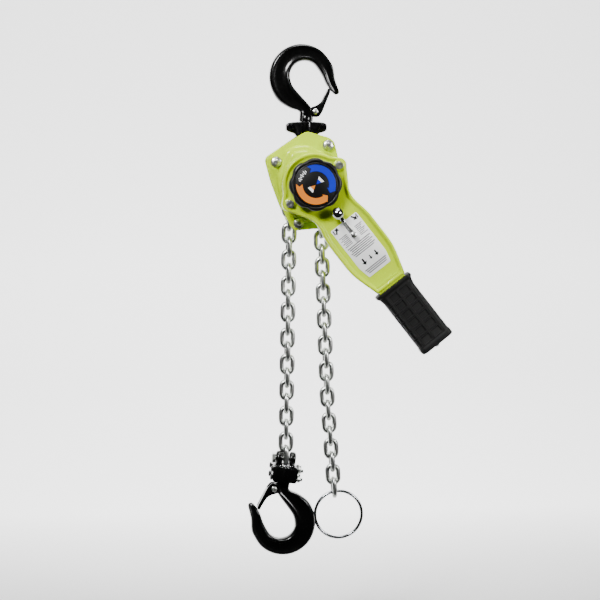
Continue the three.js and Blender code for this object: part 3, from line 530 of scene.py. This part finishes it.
def stay_bolts():
    """The three bolts that hold the covers together: nut and washer in front, head behind."""
    for index, (radius, angle) in enumerate(STAY_PLACES, start=1):
        x, z = polar(radius, angle)
        nut = Shape()
        washer = [(0, -28.2), (11.4, -28.2), (11.6, -28.6), (11.6, -29.6), (11.2, -30.1), (0, -30.1)]
        nut.turned(washer, (x, 0, z), "Y", 40)
        lock = [(0, -30.1), (9.8, -30.1), (9.8, -31.6), (9.2, -32), (0, -32)]
        nut.turned(lock, (x, 0, z), "Y", 32)
        hexagon(nut, (x, 0, z), "Y", 18.4, -32, -38, turn=0.3 * index)
        nut.finish(f"stay_nut_and_washer_{index}", HEAD, "hoist_frame", "zinc", [ZINC],
                   [f"stay_nut_{index}"])
        bolt = Shape()
        bolt.turned([(0, 30), (5.4, 30), (5.4, -36), (0, -36)], (x, 0, z), "Y", 24)
        thread(bolt, (x, 0, z), "Y", 5.4, -35, -41)
        bolt.turned([(0, 28.2), (11, 28.2), (11, 29.8), (0, 29.8)], (x, 0, z), "Y", 32)
        hexagon(bolt, (x, 0, z), "Y", 18.4, 29.8, 36)
        bolt.finish(f"stay_bolt_threaded_{index}", HEAD, "hoist_frame", "zinc", [ZINC],
                    [f"stay_bolt_{index}"])


# ---- lever -----------------------------------------------------------------------------

def lever_outline():
    """The lever's edge from the grip to its round hub, with a lug for each screw; both sides alike."""
    edge = [(262, 36), (240, 42.5), (218, 49), (200, 53), (182, 54.5), (118, 54.3), (100, 52),
            (82, 48.4), (70, 47.4), (60, 48.6), (50, 52), (38, 60)]
    lug = arc(0, LEVER_SCREW, 16, 40, 140, 10)
    hub = arc(0, 0, 66, 114, 246, 30)
    upper = edge + lug
    return upper + hub + [(u, -v) for u, v in reversed(upper)]


def lever_case():
    """Front and rear pressings; the front one has a rolled rim round a sunken face."""
    outline = lever_outline()
    front = Shape()
    front.layered(outline, [(0.5, -LEVER_SPLIT - 0.2), (0, -74.4), (0, -83), (0.5, -85.2), (1.7, -86.6),
                            (3.4, -LEVER_FRONT), (5.2, -86.6), (6.8, -85.2), (8.2, -83.2), (9.6, -82),
                            (11.5, -81.6)])
    boss = [(0, -80), (37, -80), (36.4, -86), (35, -87), (24.5, -87), (24, -86), (24, -80.5), (0, -80.5)]
    front.turned(boss, sides=56)
    for side in (-1, 1):
        pad = [(0, -80), (12.5, -80), (12, -86), (10.8, -87), (0, -87)]
        front.turned(pad, (0, 0, side * LEVER_SCREW), "Y", 40)
    front.finish("lever_case_front_pressing", LEVER, "lever", "lime_paint", [LIME], ["lever_case_front"],
                 smooth_angle=60)
    rear = Shape()
    rear.layered(outline, [(0.5, -LEVER_SPLIT + 0.2), (0, -72.4), (0, -63.4), (0.6, -61.4), (2.2, -60.3),
                           (5, -LEVER_REAR), (9, -60.6), (12, -62), (15, -62.4)])
    rear.box((258, -80.1, -16), (GRIP_END - 9, -62, 16))
    rear.box((250, -84.5, -33), (GRIP_START + 1, -62, 33))
    rear.finish("lever_case_rear_pressing", LEVER, "lever", "lime_paint", [LIME], ["lever_case_rear"],
                smooth_angle=60)


def lever_bolts():
    """The two socket screws that hold the lever's pressings together."""
    for side, label in ((1, "upper"), (-1, "lower")):
        centre = (0, 0, side * LEVER_SCREW)
        shape = Shape()
        shape.turned([(0, -87.2), (8.4, -87.2), (8.4, -88.1), (0, -88.1)], centre, "Y", 36)
        socket_screw(shape, centre, 7.2, -92, -88, 3.4)
        shape.turned([(0, -88), (4, -88), (4, -59.2), (0, -59.2)], centre, "Y", 20)
        shape.finish(f"lever_screw_{label}", LEVER, "lever", "zinc", [ZINC], [f"lever_bolt_{label}"])


def grip():
    """A moulded grip: flanges at both ends, ribs along and across its faces, and a nub at its end."""
    def ring(u, half, depth, corner):
        points = rounded([(-half, -depth), (half, -depth), (half, depth), (-half, depth)], corner, 6)
        return [Vector((u, y - GRIP_MIDDLE, v)) for v, y in points]

    shape = Shape()
    shape.skin([ring(GRIP_START, 42.5, 19.5, 11), ring(GRIP_START + 1.2, 44.2, 21.2, 11),
                ring(GRIP_START + 6.5, 44.4, 21.4, 11), ring(GRIP_START + 8.6, 42.5, 19.4, 11),
                ring(GRIP_START + 12, 40.6, 18, 10), ring(GRIP_START + 26, 37.6, 16.8, 10),
                ring(GRIP_START + 60, 35.6, 16.6, 10), ring(GRIP_END - 50, 36.4, 16.6, 10),
                ring(GRIP_END - 20, 37, 16.8, 10), ring(GRIP_END - 15.5, 38, 18.2, 10),
                ring(GRIP_END - 13.5, 39.3, 19.4, 10), ring(GRIP_END - 4, 39.3, 19.4, 10),
                ring(GRIP_END - 1.2, 38, 18.4, 10), ring(GRIP_END, 35, 15.5, 9)])
    first, last, rows = GRIP_START + 12, GRIP_END - 15, 6
    gap = (last - first) / rows
    for i in range(rows + 1):
        u = first + gap * i
        shape.skin([ring(u - 3.6, 35, 15.5, 10), ring(u - 2, 37.8, 19, 10), ring(u + 2, 37.8, 19, 10),
                    ring(u + 3.6, 35, 15.5, 10)])
    for v in (-26, 0, 26):
        for side in (-1, 1):
            face = side * 19.2 - GRIP_MIDDLE
            root = side * 15 - GRIP_MIDDLE
            shape.skin([[Vector((u, root, v - 4.4)), Vector((u, face, v - 2.6)), Vector((u, face, v + 2.6)),
                         Vector((u, root, v + 4.4))] for u in (first, last)])
    for side in (-1, 1):
        shape.skin([[Vector((u, -GRIP_MIDDLE - 5, side * 34)), Vector((u, -GRIP_MIDDLE - 1.6, side * 38.4)),
                     Vector((u, -GRIP_MIDDLE + 1.6, side * 38.4)), Vector((u, -GRIP_MIDDLE + 5, side * 34))]
                    for u in (first, last)])
    nub = [(0, -2), (5, -2), (5, 3), (4, 4.4), (0, 4.8)]
    shape.turned([(radius, GRIP_END + u) for radius, u in nub], (0, -GRIP_MIDDLE, -2), "X", 20)
    shape.finish("lever_grip_moulding", LEVER, "lever", "rubber", [RUBBER], ["lever_grip"], smooth_angle=50)


LABEL_FACE = -82.3


def strip(shape, low_u, high_u, low_v, high_v, look):
    """A thin printed bar on the label."""
    shape.box((low_u, LABEL_FACE - 0.12, low_v), (high_u, LABEL_FACE, high_v), look)


def arrow(shape, u, v, degrees, length, width, look):
    """A plain block arrow on the lever's face, pointing along the angle from the lever's direction."""
    turn = math.radians(degrees)
    outline = [(-0.5, -0.16), (0.05, -0.16), (0.05, -0.5), (0.5, 0), (0.05, 0.5), (0.05, 0.16), (-0.5, 0.16)]
    points = []
    for a, b in outline:
        x, y = a * length, b * width
        points.append((u + x * math.cos(turn) - y * math.sin(turn),
                       v + x * math.sin(turn) + y * math.cos(turn)))
    shape.layered(points, [(0, LABEL_FACE - 0.14), (0, LABEL_FACE)], look)


def lever_label():
    """A white label with grey ruled lines, blocks and arrows in place of its words."""
    sheet = rounded([(98, -34), (98, 34), (198, 34), (224, 28), (224, -28), (198, -34)], 3, 4)
    shape = Shape()
    shape.layered(sheet, [(0, LABEL_FACE + 1.2), (0, LABEL_FACE + 0.1), (0.2, LABEL_FACE)], 0)
    arrow(shape, 105, -23, 145, 15, 11, 1)
    arrow(shape, 105, 23, 35, 15, 11, 1)
    arrow(shape, 104, 0, 180, 9, 7, 1)
    for v in (-30, 30):
        strip(shape, 100, 110, v - 1.4, v + 1.4, 2)
    for i in range(7):
        strip(shape, 120 + 3.6 * i, 121.5 + 3.6 * i, 12, 30 - (i % 3) * 3, 2)
        strip(shape, 122 + 3.6 * i, 123.5 + 3.6 * i, -30 + (i % 2) * 4, -11, 2)
    for i in range(6):
        strip(shape, 150 + 4.2 * i, 151.9 + 4.2 * i, -29 + (i % 3) * 2, 29 - (i % 2) * 5, 2)
    for v, size in ((-17, 15), (0, 10), (15, 13)):
        arrow(shape, 191, v, 0, size, size * 0.8, 1)
    for i in range(3):
        strip(shape, 207 + 4 * i, 209 + 4 * i, -27 + 2 * i, 27 - 2 * i, 2)
    shape.finish("lever_label", LEVER, "lever", "lime_paint", [LABEL, INK, GREY_INK])


def selector_lever():
    """The selector: a polished ball on a neck, a grooved bar, and its pivot."""
    ball_along, ball_radius, ball_middle = 75, 12.8, -103.5
    shape = Shape()
    profile = []
    for i in range(21):
        angle = math.pi * i / 20
        profile.append((ball_radius * math.sin(angle), ball_middle - ball_radius * math.cos(angle)))
    shape.turned(profile, (ball_along, 0, 0), "Y", 40)
    neck = []
    for u, y, tall, wide in ((80, -99.5, 7, 7), (86, -97, 5.4, 6), (90, -95, 3.8, 4.8),
                             (95, -93.2, 3, 4.4), (99, -92.8, 3, 4.6)):
        neck.append([Vector((u, y + tall * math.sin(angle), wide * math.cos(angle)))
                     for angle in around(16)])
    shape.skin(neck)
    bar = [(-4.5, -90.2), (4.5, -90.2), (4.5, -95.4), (3.6, -96), (2.6, -96), (2.2, -95), (-2.2, -95),
           (-2.6, -96), (-3.6, -96), (-4.5, -95.4)]
    shape.skin([[Vector((u, y, v)) for v, y in bar] for u in (94, SELECTOR_PIVOT + 6)], look=1)
    pin = [(0, -96.4), (4.8, -96.4), (6, -95.6), (6, -70), (0, -70)]
    shape.turned(pin, (SELECTOR_PIVOT, 0, 0), "Y", 32, look=1)
    shape.finish("selector_lever_with_ball", LEVER, "selector", "chrome", [CHROME, ZINC], ["selector_lever"])


# ---- knob ------------------------------------------------------------------------------

KNOB_LOBES = 8


def knob_outline(radius, depth):
    """The knob's lobed edge: a circle with a shallow dip between each lobe and the next."""
    points = []
    for angle in around(KNOB_LOBES * 16):
        dip = (0.5 + 0.5 * math.cos(KNOB_LOBES * angle)) ** 1.8
        reach = radius - depth * dip
        turn = angle + math.radians(25)
        points.append((reach * math.cos(turn), reach * math.sin(turn)))
    return points


def hand_knob():
    """The lobed knob: rounded edges, a raised rim, a groove and a sunken face."""
    layers = [(49, 0, -KNOB_REAR - 4.5), (53.6, 2.8, -KNOB_REAR - 5), (54.8, 3.2, -KNOB_REAR - 7),
              (54.9, 3.2, -110), (54.2, 3.1, -113.4), (52.4, 2.7, -115.2), (50, 1.8, -KNOB_FRONT),
              (47.6, 0.4, -KNOB_FRONT), (46.8, 0, -115.4),
              (46.4, 0, -114.2), (45.6, 0, -114.2), (45.2, 0, -115.4), (44.4, 0, -115.9), (43.4, 0, -115.9),
              (42.9, 0, -115.2), (42.8, 0, -113.6), (40, 0, -113.5)]
    shape = Shape()
    shape.skin([[Vector((x, y, z)) for x, z in knob_outline(radius, depth)] for radius, depth, y in layers])
    hub = [(0, -KNOB_REAR), (46, -KNOB_REAR), (48.6, -91), (49, -92), (49, -97), (0, -97)]
    shape.turned(hub, sides=64)
    shape.finish("hand_knob_moulding", HEAD, "drive", "black_plastic", [PLASTIC], ["hand_knob"],
                 smooth_angle=50)


def arc_arrow(inner, outer, tail, head, barb):
    """An arrow bent round the knob's centre, from the tail angle to the head angle."""
    sign = 1 if head > tail else -1
    neck = head - sign * barb
    middle = (inner + outer) / 2
    points = arc(0, 0, outer, tail, neck, 16)
    points.append(polar(outer + 3.2, neck))
    points.append(polar(middle - 1, head))
    points.append(polar(inner - 3.2, neck))
    points += arc(0, 0, inner, neck, tail, 16)
    points.append(polar(middle, tail + sign * 9))
    return points


def knob_face():
    """The knob's face disc: blue and orange turning arrows, a bow-tie and pale ticks."""
    face = -114.6
    shape = Shape()
    shape.turned([(0, -113.9), (42.4, -113.9), (42.4, face + 0.2), (42, face), (0, face)], sides=64)
    flat = [(0, face - 0.16), (0, face + 0.05)]
    raised = [(0, face - 0.3), (0, face + 0.05)]
    shape.layered(arc_arrow(27.5, 41, 116, -30, 15), flat, 1)
    shape.layered(arc_arrow(27.5, 41, 178, 318, 15), flat, 2)
    for tilt, look in ((45, 1), (225, 2)):
        turn = math.radians(tilt)
        for size, layers, index in ((1.0, flat, 3), (0.66, raised, look)):
            points = []
            for a, b in ((1.5, 0), (15.5 * size + 1, 7.5 * size), (15.5 * size + 1, -7.5 * size)):
                points.append((a * math.cos(turn) - b * math.sin(turn),
                               a * math.sin(turn) + b * math.cos(turn)))
            shape.layered(points, layers, index)
    for i in range(7):
        angle = 128 + 6.5 * i
        inner, outer = (30, 38) if i % 2 else (32, 36)
        shape.layered([polar(inner, angle - 1.6), polar(outer, angle - 1.3), polar(outer, angle + 1.3),
                       polar(inner, angle + 1.6)], flat, 3)
    shape.finish("knob_face_disc", HEAD, "drive", "black_plastic", [PLASTIC, BLUE, ORANGE, LABEL],
                 ["knob_decal"])


# ---- chain and ring --------------------------------------------------------------------

WIRE, PITCH, LINK_WIDTH = 10, 28, 33
LOOSE_PITCH = 27.2


def leaning_down(tilt):
    """The direction straight down, leaning by the tilt in degrees."""
    return Vector((math.sin(math.radians(tilt)), 0, -math.cos(math.radians(tilt))))


def link_rings(wire_sides=14, bend_steps=12):
    """The rings of one link, round both bends, with the weld's swelling on one straight side."""
    bend, straight = (LINK_WIDTH - WIRE) / 2, (PITCH + 2 * WIRE - LINK_WIDTH) / 2
    rings = []
    for end, start in ((1, 0), (-1, 180)):
        for i in range(bend_steps + 1):
            angle = math.radians(start + 180 * i / bend_steps)
            out = Vector((math.cos(angle), 0, math.sin(angle)))
            centre = out * bend + Vector((0, 0, end * straight))
            rings.append([centre + out * (WIRE / 2 * math.cos(a)) + Vector((0, WIRE / 2 * math.sin(a), 0))
                          for a in around(wire_sides)])
        swell = WIRE / 2 * (1.07 if end == 1 else 1.0)
        out = Vector((-end, 0, 0))
        rings.append([Vector((-end * bend, 0, 0)) + out * (swell * math.cos(a))
                      + Vector((0, swell * math.sin(a), 0)) for a in around(wire_sides)])
    return rings


def link(name, centre, along, edge_on, twist, body, node):
    """One welded link; along is its long direction, and edge_on turns it a quarter turn."""
    down = Vector(along).normalized()
    turn = Matrix.Rotation(math.radians((90 if edge_on else 0) + twist), 4, down)
    side = (turn @ Vector((0, 1, 0))).cross(down)
    place = frame_from(Vector(centre), side, -down)
    shape = Shape().skin(link_rings(), closed=True)
    return shape.finish(name, place, body, "zinc", [ZINC], [node], smooth_angle=60)


def twist_of(index):
    """A small turn in degrees that differs from link to link, as in a chain that hangs loose."""
    return 5 * math.sin(index * 2.4)


def hanging_chain(run, first_centres, lean, counts):
    """The links of one hanging run, in its three lengths; the first of each shows its face."""
    index = 0
    for label, centre, tilt, count in zip(("upper", "middle", "lower"), first_centres, lean, counts):
        down = leaning_down(tilt)
        for i in range(count):
            index += 1
            link(f"{run}_chain_link_{index:02d}", centre + down * (PITCH * i * MM), down, i % 2 == 1,
                 twist_of(index), f"{run}_{label}", f"{run}_chain_{label}")


def first_centres(start, leans, counts):
    """Where each length of a run starts, one hanging loosely from the one above."""
    centres = [start]
    for tilt, count in zip(leans[:2], counts[:2]):
        centres.append(centres[-1] + leaning_down(tilt) * ((PITCH * (count - 1) + LOOSE_PITCH) * MM))
    return centres


LOAD_TOP, SLACK_TOP = (-46.1, -76.6), (22.3, -92.3)
POCKET_RADIUS = 44.56


def chain_over_sheave():
    """The links that stay on the sheave: up the load side, round the pockets, and down the slack side."""
    places = []
    for i in range(3):
        x = LOAD_TOP[0] + i / 2 * (-POCKET_RADIUS + 0.2 - LOAD_TOP[0])
        places.append(((x, LOAD_TOP[1] + PITCH * i), (-0.016, -1), i != 1))
    corners = [Vector(polar(POCKET_RADIUS, 188 - 36 * i)) for i in range(7)]
    for i in range(6):
        middle, along = (corners[i] + corners[i + 1]) / 2, corners[i + 1] - corners[i]
        places.append((tuple(middle), tuple(along), i % 2 == 1))
    start, control, end = corners[6], Vector((53, -53)), Vector((SLACK_TOP[0], SLACK_TOP[1] + PITCH / 2))
    for i, t in enumerate((0.15, 0.5, 0.85)):
        middle = start * (1 - t) ** 2 + control * 2 * t * (1 - t) + end * t ** 2
        along = (control - start) * (1 - t) + (end - control) * t
        places.append((tuple(middle), tuple(along), i == 1))
    places.append((SLACK_TOP, (0, -1), True))
    for i, ((x, z), (dx, dz), edge_on) in enumerate(places, start=1):
        link(f"sheave_chain_link_{i:02d}", HEAD @ Vector((x, 0, z)), (dx, 0, dz), edge_on, 0, "hoist_frame",
             "chain_on_sheave")


def chains():
    """The load run with 18 links, the slack run with 20, and the links over the sheave."""
    load_start = AXIS + Vector((LOAD_TOP[0] - 0.1, 0, LOAD_TOP[1] - LOOSE_PITCH)) * MM
    slack_start = AXIS + Vector((SLACK_TOP[0] + 0.2, 0, SLACK_TOP[1] - LOOSE_PITCH)) * MM
    for run, start, lean, counts in (("load", load_start, (-0.9, -0.9, -0.9), (6, 6, 6)),
                                     ("slack", slack_start, (2.15, 2.3, 4.3), (6, 6, 8))):
        hanging_chain(run, first_centres(start, lean, counts), lean, counts)
    chain_over_sheave()


def end_ring():
    """The round wire ring on the slack chain's last link."""
    low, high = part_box("end_ring")
    centre = (low + high) / 2
    radius, wire = 50.55, 3.25
    rings = []
    for angle in around(96):
        out = Vector((math.cos(angle), 0, math.sin(angle)))
        rings.append([out * (radius + wire * math.cos(a)) + Vector((0, wire * math.sin(a), 0))
                      for a in around(16)])
    place = Matrix.Translation(centre) @ Matrix.Scale(MM, 4)
    shape = Shape().skin(rings, closed=True)
    shape.finish("end_ring_polished", place, "end_ring", "chrome", [RING_STEEL], ["end_ring"])


# ---- bottom fork, block and swivel -----------------------------------------------------

SLOT_HALF = 7.3
BASE_SLOT_HALF = 7.4
BLOCK_BOLT_HEIGHTS = (-20.5, -39)
BLOCK_BOLT_DEPTH = 23.6


def bottom_fork():
    """Two rounded ears beside the last link, on a round base that turns on the balls."""
    shape = Shape()
    ear = [(0, SLOT_HALF), (11.5, SLOT_HALF), (13.6, 8.2), (15, 9.8), (15.6, 12), (15.6, 16.6), (14.8, 19),
           (13, 20.8), (10, 21.5), (0, 21.5)]
    for side in (-1, 1):
        shape.turned([(radius, side * along) for radius, along in ear], axis="X", sides=40)
        column = rounded([(side * BASE_SLOT_HALF, -12), (side * 20, -12), (side * 20, 12),
                          (side * BASE_SLOT_HALF, 12)], 4, 4)
        shape.skin([[Vector((x, y, z)) for x, y in column] for z in (-11.5, -2)])
        half = []
        for radius in (22, 17):
            start = math.acos(BASE_SLOT_HALF / radius)
            half.append([(side * radius * math.cos(a), radius * math.sin(a))
                         for a in [start - 2 * start * i / 20 for i in range(21)]])
        shape.skin([[Vector((x, y, z)) for x, y in half[0]] for z in (-11.6, -8)])
        shape.skin([[Vector((x, y, z)) for x, y in half[1]] for z in (-18, -9)])
    foot = [(0, -27), (19.6, -27), (20, -26.4), (20, -23.4), (17, -23), (17, -17.2), (0, -17.2)]
    shape.turned(foot, axis="Z")
    shape.finish("bottom_fork_forging", BLOCK, "fork", "black_paint", [BLACK], ["bottom_fork"])


def chain_bolt():
    """The hexagon bolt through the fork's ears and the last link of the load chain."""
    shape = Shape()
    shape.turned([(0, -23), (5.5, -23), (5.5, 20), (0, 20.6)], axis="X", sides=28)
    hexagon(shape, (0, 0, 0), "X", 19, -22.2, -29.5, turn=0.2)
    shape.turned([(0, -29.4), (7.4, -29.4), (7.0, -30), (0, -30)], axis="X", sides=28)
    shape.finish("chain_bolt_hexagon", BLOCK, "fork", "zinc", [ZINC], ["chain_bolt"])


def swivel_balls():
    """The ring of balls that the fork turns on."""
    ball_radius, ring_radius, height = 2.1, 20.1, -14.35
    profile = []
    for i in range(9):
        angle = math.pi * i / 8
        profile.append((ball_radius * math.sin(angle), -ball_radius * math.cos(angle)))
    shape = Shape()
    for angle in around(26):
        centre = (ring_radius * math.cos(angle), ring_radius * math.sin(angle), height)
        shape.turned(profile, centre, "Z", 12)
    shape.finish("swivel_balls", BLOCK, "fork", "chrome", [CHROME], ["swivel_ball_ring"])


def bottom_block():
    """The block in two halves, each with a thick flange that the clamp bolts draw together."""
    for side, label in ((-1, "left"), (1, "right")):
        shape = Shape()
        core = rounded([(side * 0.3, -48), (side * 0.3, -17), (side * 25, -17), (side * 25, -48)], 2.5, 3)
        shape.layered(core, [(0.3, -28.6), (0.1, -28.5), (0, -28.2), (0, 28.2), (0.1, 28.5), (0.3, 28.6)])
        flange = rounded([(side * 16, -48.4), (side * 16, -12.6), (side * 22, -12.6), (side * 27, -17.5),
                          (side * 27, -43.5), (side * 22, -48.4)], 3, 4)
        shape.layered(flange, [(2, -31), (0.6, -30.4), (0, -29), (0, 29), (0.6, 30.4), (2, 31)])
        shape.finish(f"bottom_block_{label}_forging", BLOCK, "bottom_block", "black_paint", [BLACK],
                     [f"bottom_block_{label}"], bevel=1.2)
    index = 0
    for depth in (-BLOCK_BOLT_DEPTH, BLOCK_BOLT_DEPTH):
        for height in BLOCK_BOLT_HEIGHTS:
            index += 1
            centre = (0, depth, height)
            shape = Shape()
            head = [(0, -31.4), (4, -31.4), (6.1, -29.8), (6.3, -27.4), (3.5, -27.2), (3.5, 28), (0, 28)]
            shape.turned(head, centre, "X", 24, look=1)
            hexagon(shape, centre, "X", 12.8, 27.4, 32.4, turn=0.4 * index)
            shape.turned([(0, 32.3), (5.4, 32.3), (5, 33.6), (0, 33.6)], centre, "X", 24)
            thread(shape, centre, "X", 3.6, 33, 38, look=1)
            node = [f"block_bolt_{index}"] if index <= 2 else []
            shape.finish(f"block_bolt_and_nut_{index}", BLOCK, "bottom_block", "zinc", [ZINC, PLASTIC], node)


# ---- scene -----------------------------------------------------------------------------

def dress_cad_nodes():
    """Gives each CAD node the finish of its material slot and a fine bevel on its edges."""
    for row in frame["record"]["subparts"]:
        node = frame["nodes"][row["node"]]
        node.data.materials.clear()
        node.data.materials.append(SLOT_LOOKS[row["material_slot"]])
        if not node.hide_render:
            soften(node, 0.4, 40)


def strength_along(tree, output, axis, start, end, low, high):
    """A value that rises from low to high between two places along an axis, for a light strength."""
    place = tree.nodes.new("ShaderNodeTexCoord")
    parts = tree.nodes.new("ShaderNodeSeparateXYZ")
    tree.links.new(place.outputs[output], parts.inputs["Vector"])
    ramp = tree.nodes.new("ShaderNodeMapRange")
    ramp.inputs["From Min"].default_value = start
    ramp.inputs["From Max"].default_value = end
    ramp.inputs["To Min"].default_value = low
    ramp.inputs["To Max"].default_value = high
    tree.links.new(parts.outputs[axis], ramp.inputs["Value"])
    return ramp.outputs["Result"]


def studio():
    """A pale sweep that glows behind the part, a sky brighter above than below, and soft lights."""
    low, high = CAD_BOX
    ground = low[2] - 0.22
    sweep = Shape()
    profile = [(-0.1, ground), (1.6, ground), (2.1, ground + 0.08), (2.5, ground + 0.3), (2.7, ground + 0.7),
               (2.75, ground + 5), (2.85, ground + 5), (2.85, ground - 0.1), (-0.1, ground - 0.1)]
    sweep.skin([[Vector((x, y, z)) for y, z in profile] for x in (-2.6, 2.6)])
    bmesh.ops.recalc_face_normals(sweep.mesh, faces=sweep.mesh.faces)
    data = bpy.data.meshes.new("studio_sweep")
    sweep.mesh.to_mesh(data)
    sweep.mesh.free()
    data.shade_smooth()
    floor = bpy.data.objects.new("studio_sweep", data)
    bpy.context.scene.collection.objects.link(floor)
    paper = bpy.data.materials.new("studio_paper")
    paper.use_nodes = True
    shader = paper.node_tree.nodes["Principled BSDF"]
    shader.inputs["Base Color"].default_value = (0.93, 0.93, 0.93, 1)
    shader.inputs["Roughness"].default_value = 0.9
    shader.inputs["Emission Color"].default_value = (1, 1, 1, 1)
    glow = strength_along(paper.node_tree, "Object", "Y", 0.2, 1.6, 0.0, 2.2)
    paper.node_tree.links.new(glow, shader.inputs["Emission Strength"])
    data.materials.append(paper)

    world = bpy.data.worlds.new("studio_world")
    world.use_nodes = True
    sky = strength_along(world.node_tree, "Generated", "Z", 0.1, 0.8, 0.2, 0.8)
    world.node_tree.links.new(sky, world.node_tree.nodes["Background"].inputs["Strength"])
    bpy.context.scene.world = world

    aim = Vector((0, 0, -0.45))
    for name, spot, size, power in (("key", (-1.2, -2.0, 1.0), 0.7, 88), ("fill", (1.8, -1.8, 0.1), 0.7, 40),
                                    ("top", (0.1, -0.5, 1.5), 0.9, 36), ("rear", (0.8, 1.6, 0.7), 1.2, 18)):
        lamp = bpy.data.lights.new(name, "AREA")
        lamp.size = size
        lamp.energy = power
        holder = bpy.data.objects.new(name, lamp)
        holder.location = spot
        holder.rotation_euler = (aim - Vector(spot)).to_track_quat("-Z", "Y").to_euler()
        bpy.context.scene.collection.objects.link(holder)


def camera():
    """A long lens, a little left of the front and a little above."""
    azimuth, elevation, distance = math.radians(-5), math.radians(4), 3.6
    view_width = 1.279
    target = Vector((-0.0098, 0, -0.5055))
    away = Vector((math.sin(azimuth) * math.cos(elevation), -math.cos(azimuth) * math.cos(elevation),
                   math.sin(elevation)))
    lens = bpy.data.cameras.new("camera")
    lens.sensor_width = 36
    lens.lens = lens.sensor_width * distance / view_width
    lens.clip_end = 50
    holder = bpy.data.objects.new("camera", lens)
    holder.location = target + away * distance
    holder.rotation_euler = (-away).to_track_quat("-Z", "Y").to_euler()
    bpy.context.scene.collection.objects.link(holder)
    bpy.context.scene.camera = holder


camera()
studio()
HOOKS = [("top_hook", TOP_HOOK, "top_hook", "top_latch"),
         ("bottom_hook", BOTTOM_HOOK, "bottom_block", "bottom_latch")]
for hook_name, hook_frame, hook_body, latch_body in HOOKS:
    hook(hook_name, hook_frame, hook_body)
    latch(hook_name + "_latch", hook_frame, latch_body)
    rivet(hook_name + "_latch_pin", hook_frame, hook_body)
top_yoke()
brake_cover()
gear_cover()
stay_bolts()
lever_case()
lever_bolts()
grip()
lever_label()
selector_lever()
hand_knob()
knob_face()
chains()
end_ring()
bottom_fork()
chain_bolt()
swivel_balls()
bottom_block()
dress_cad_nodes()
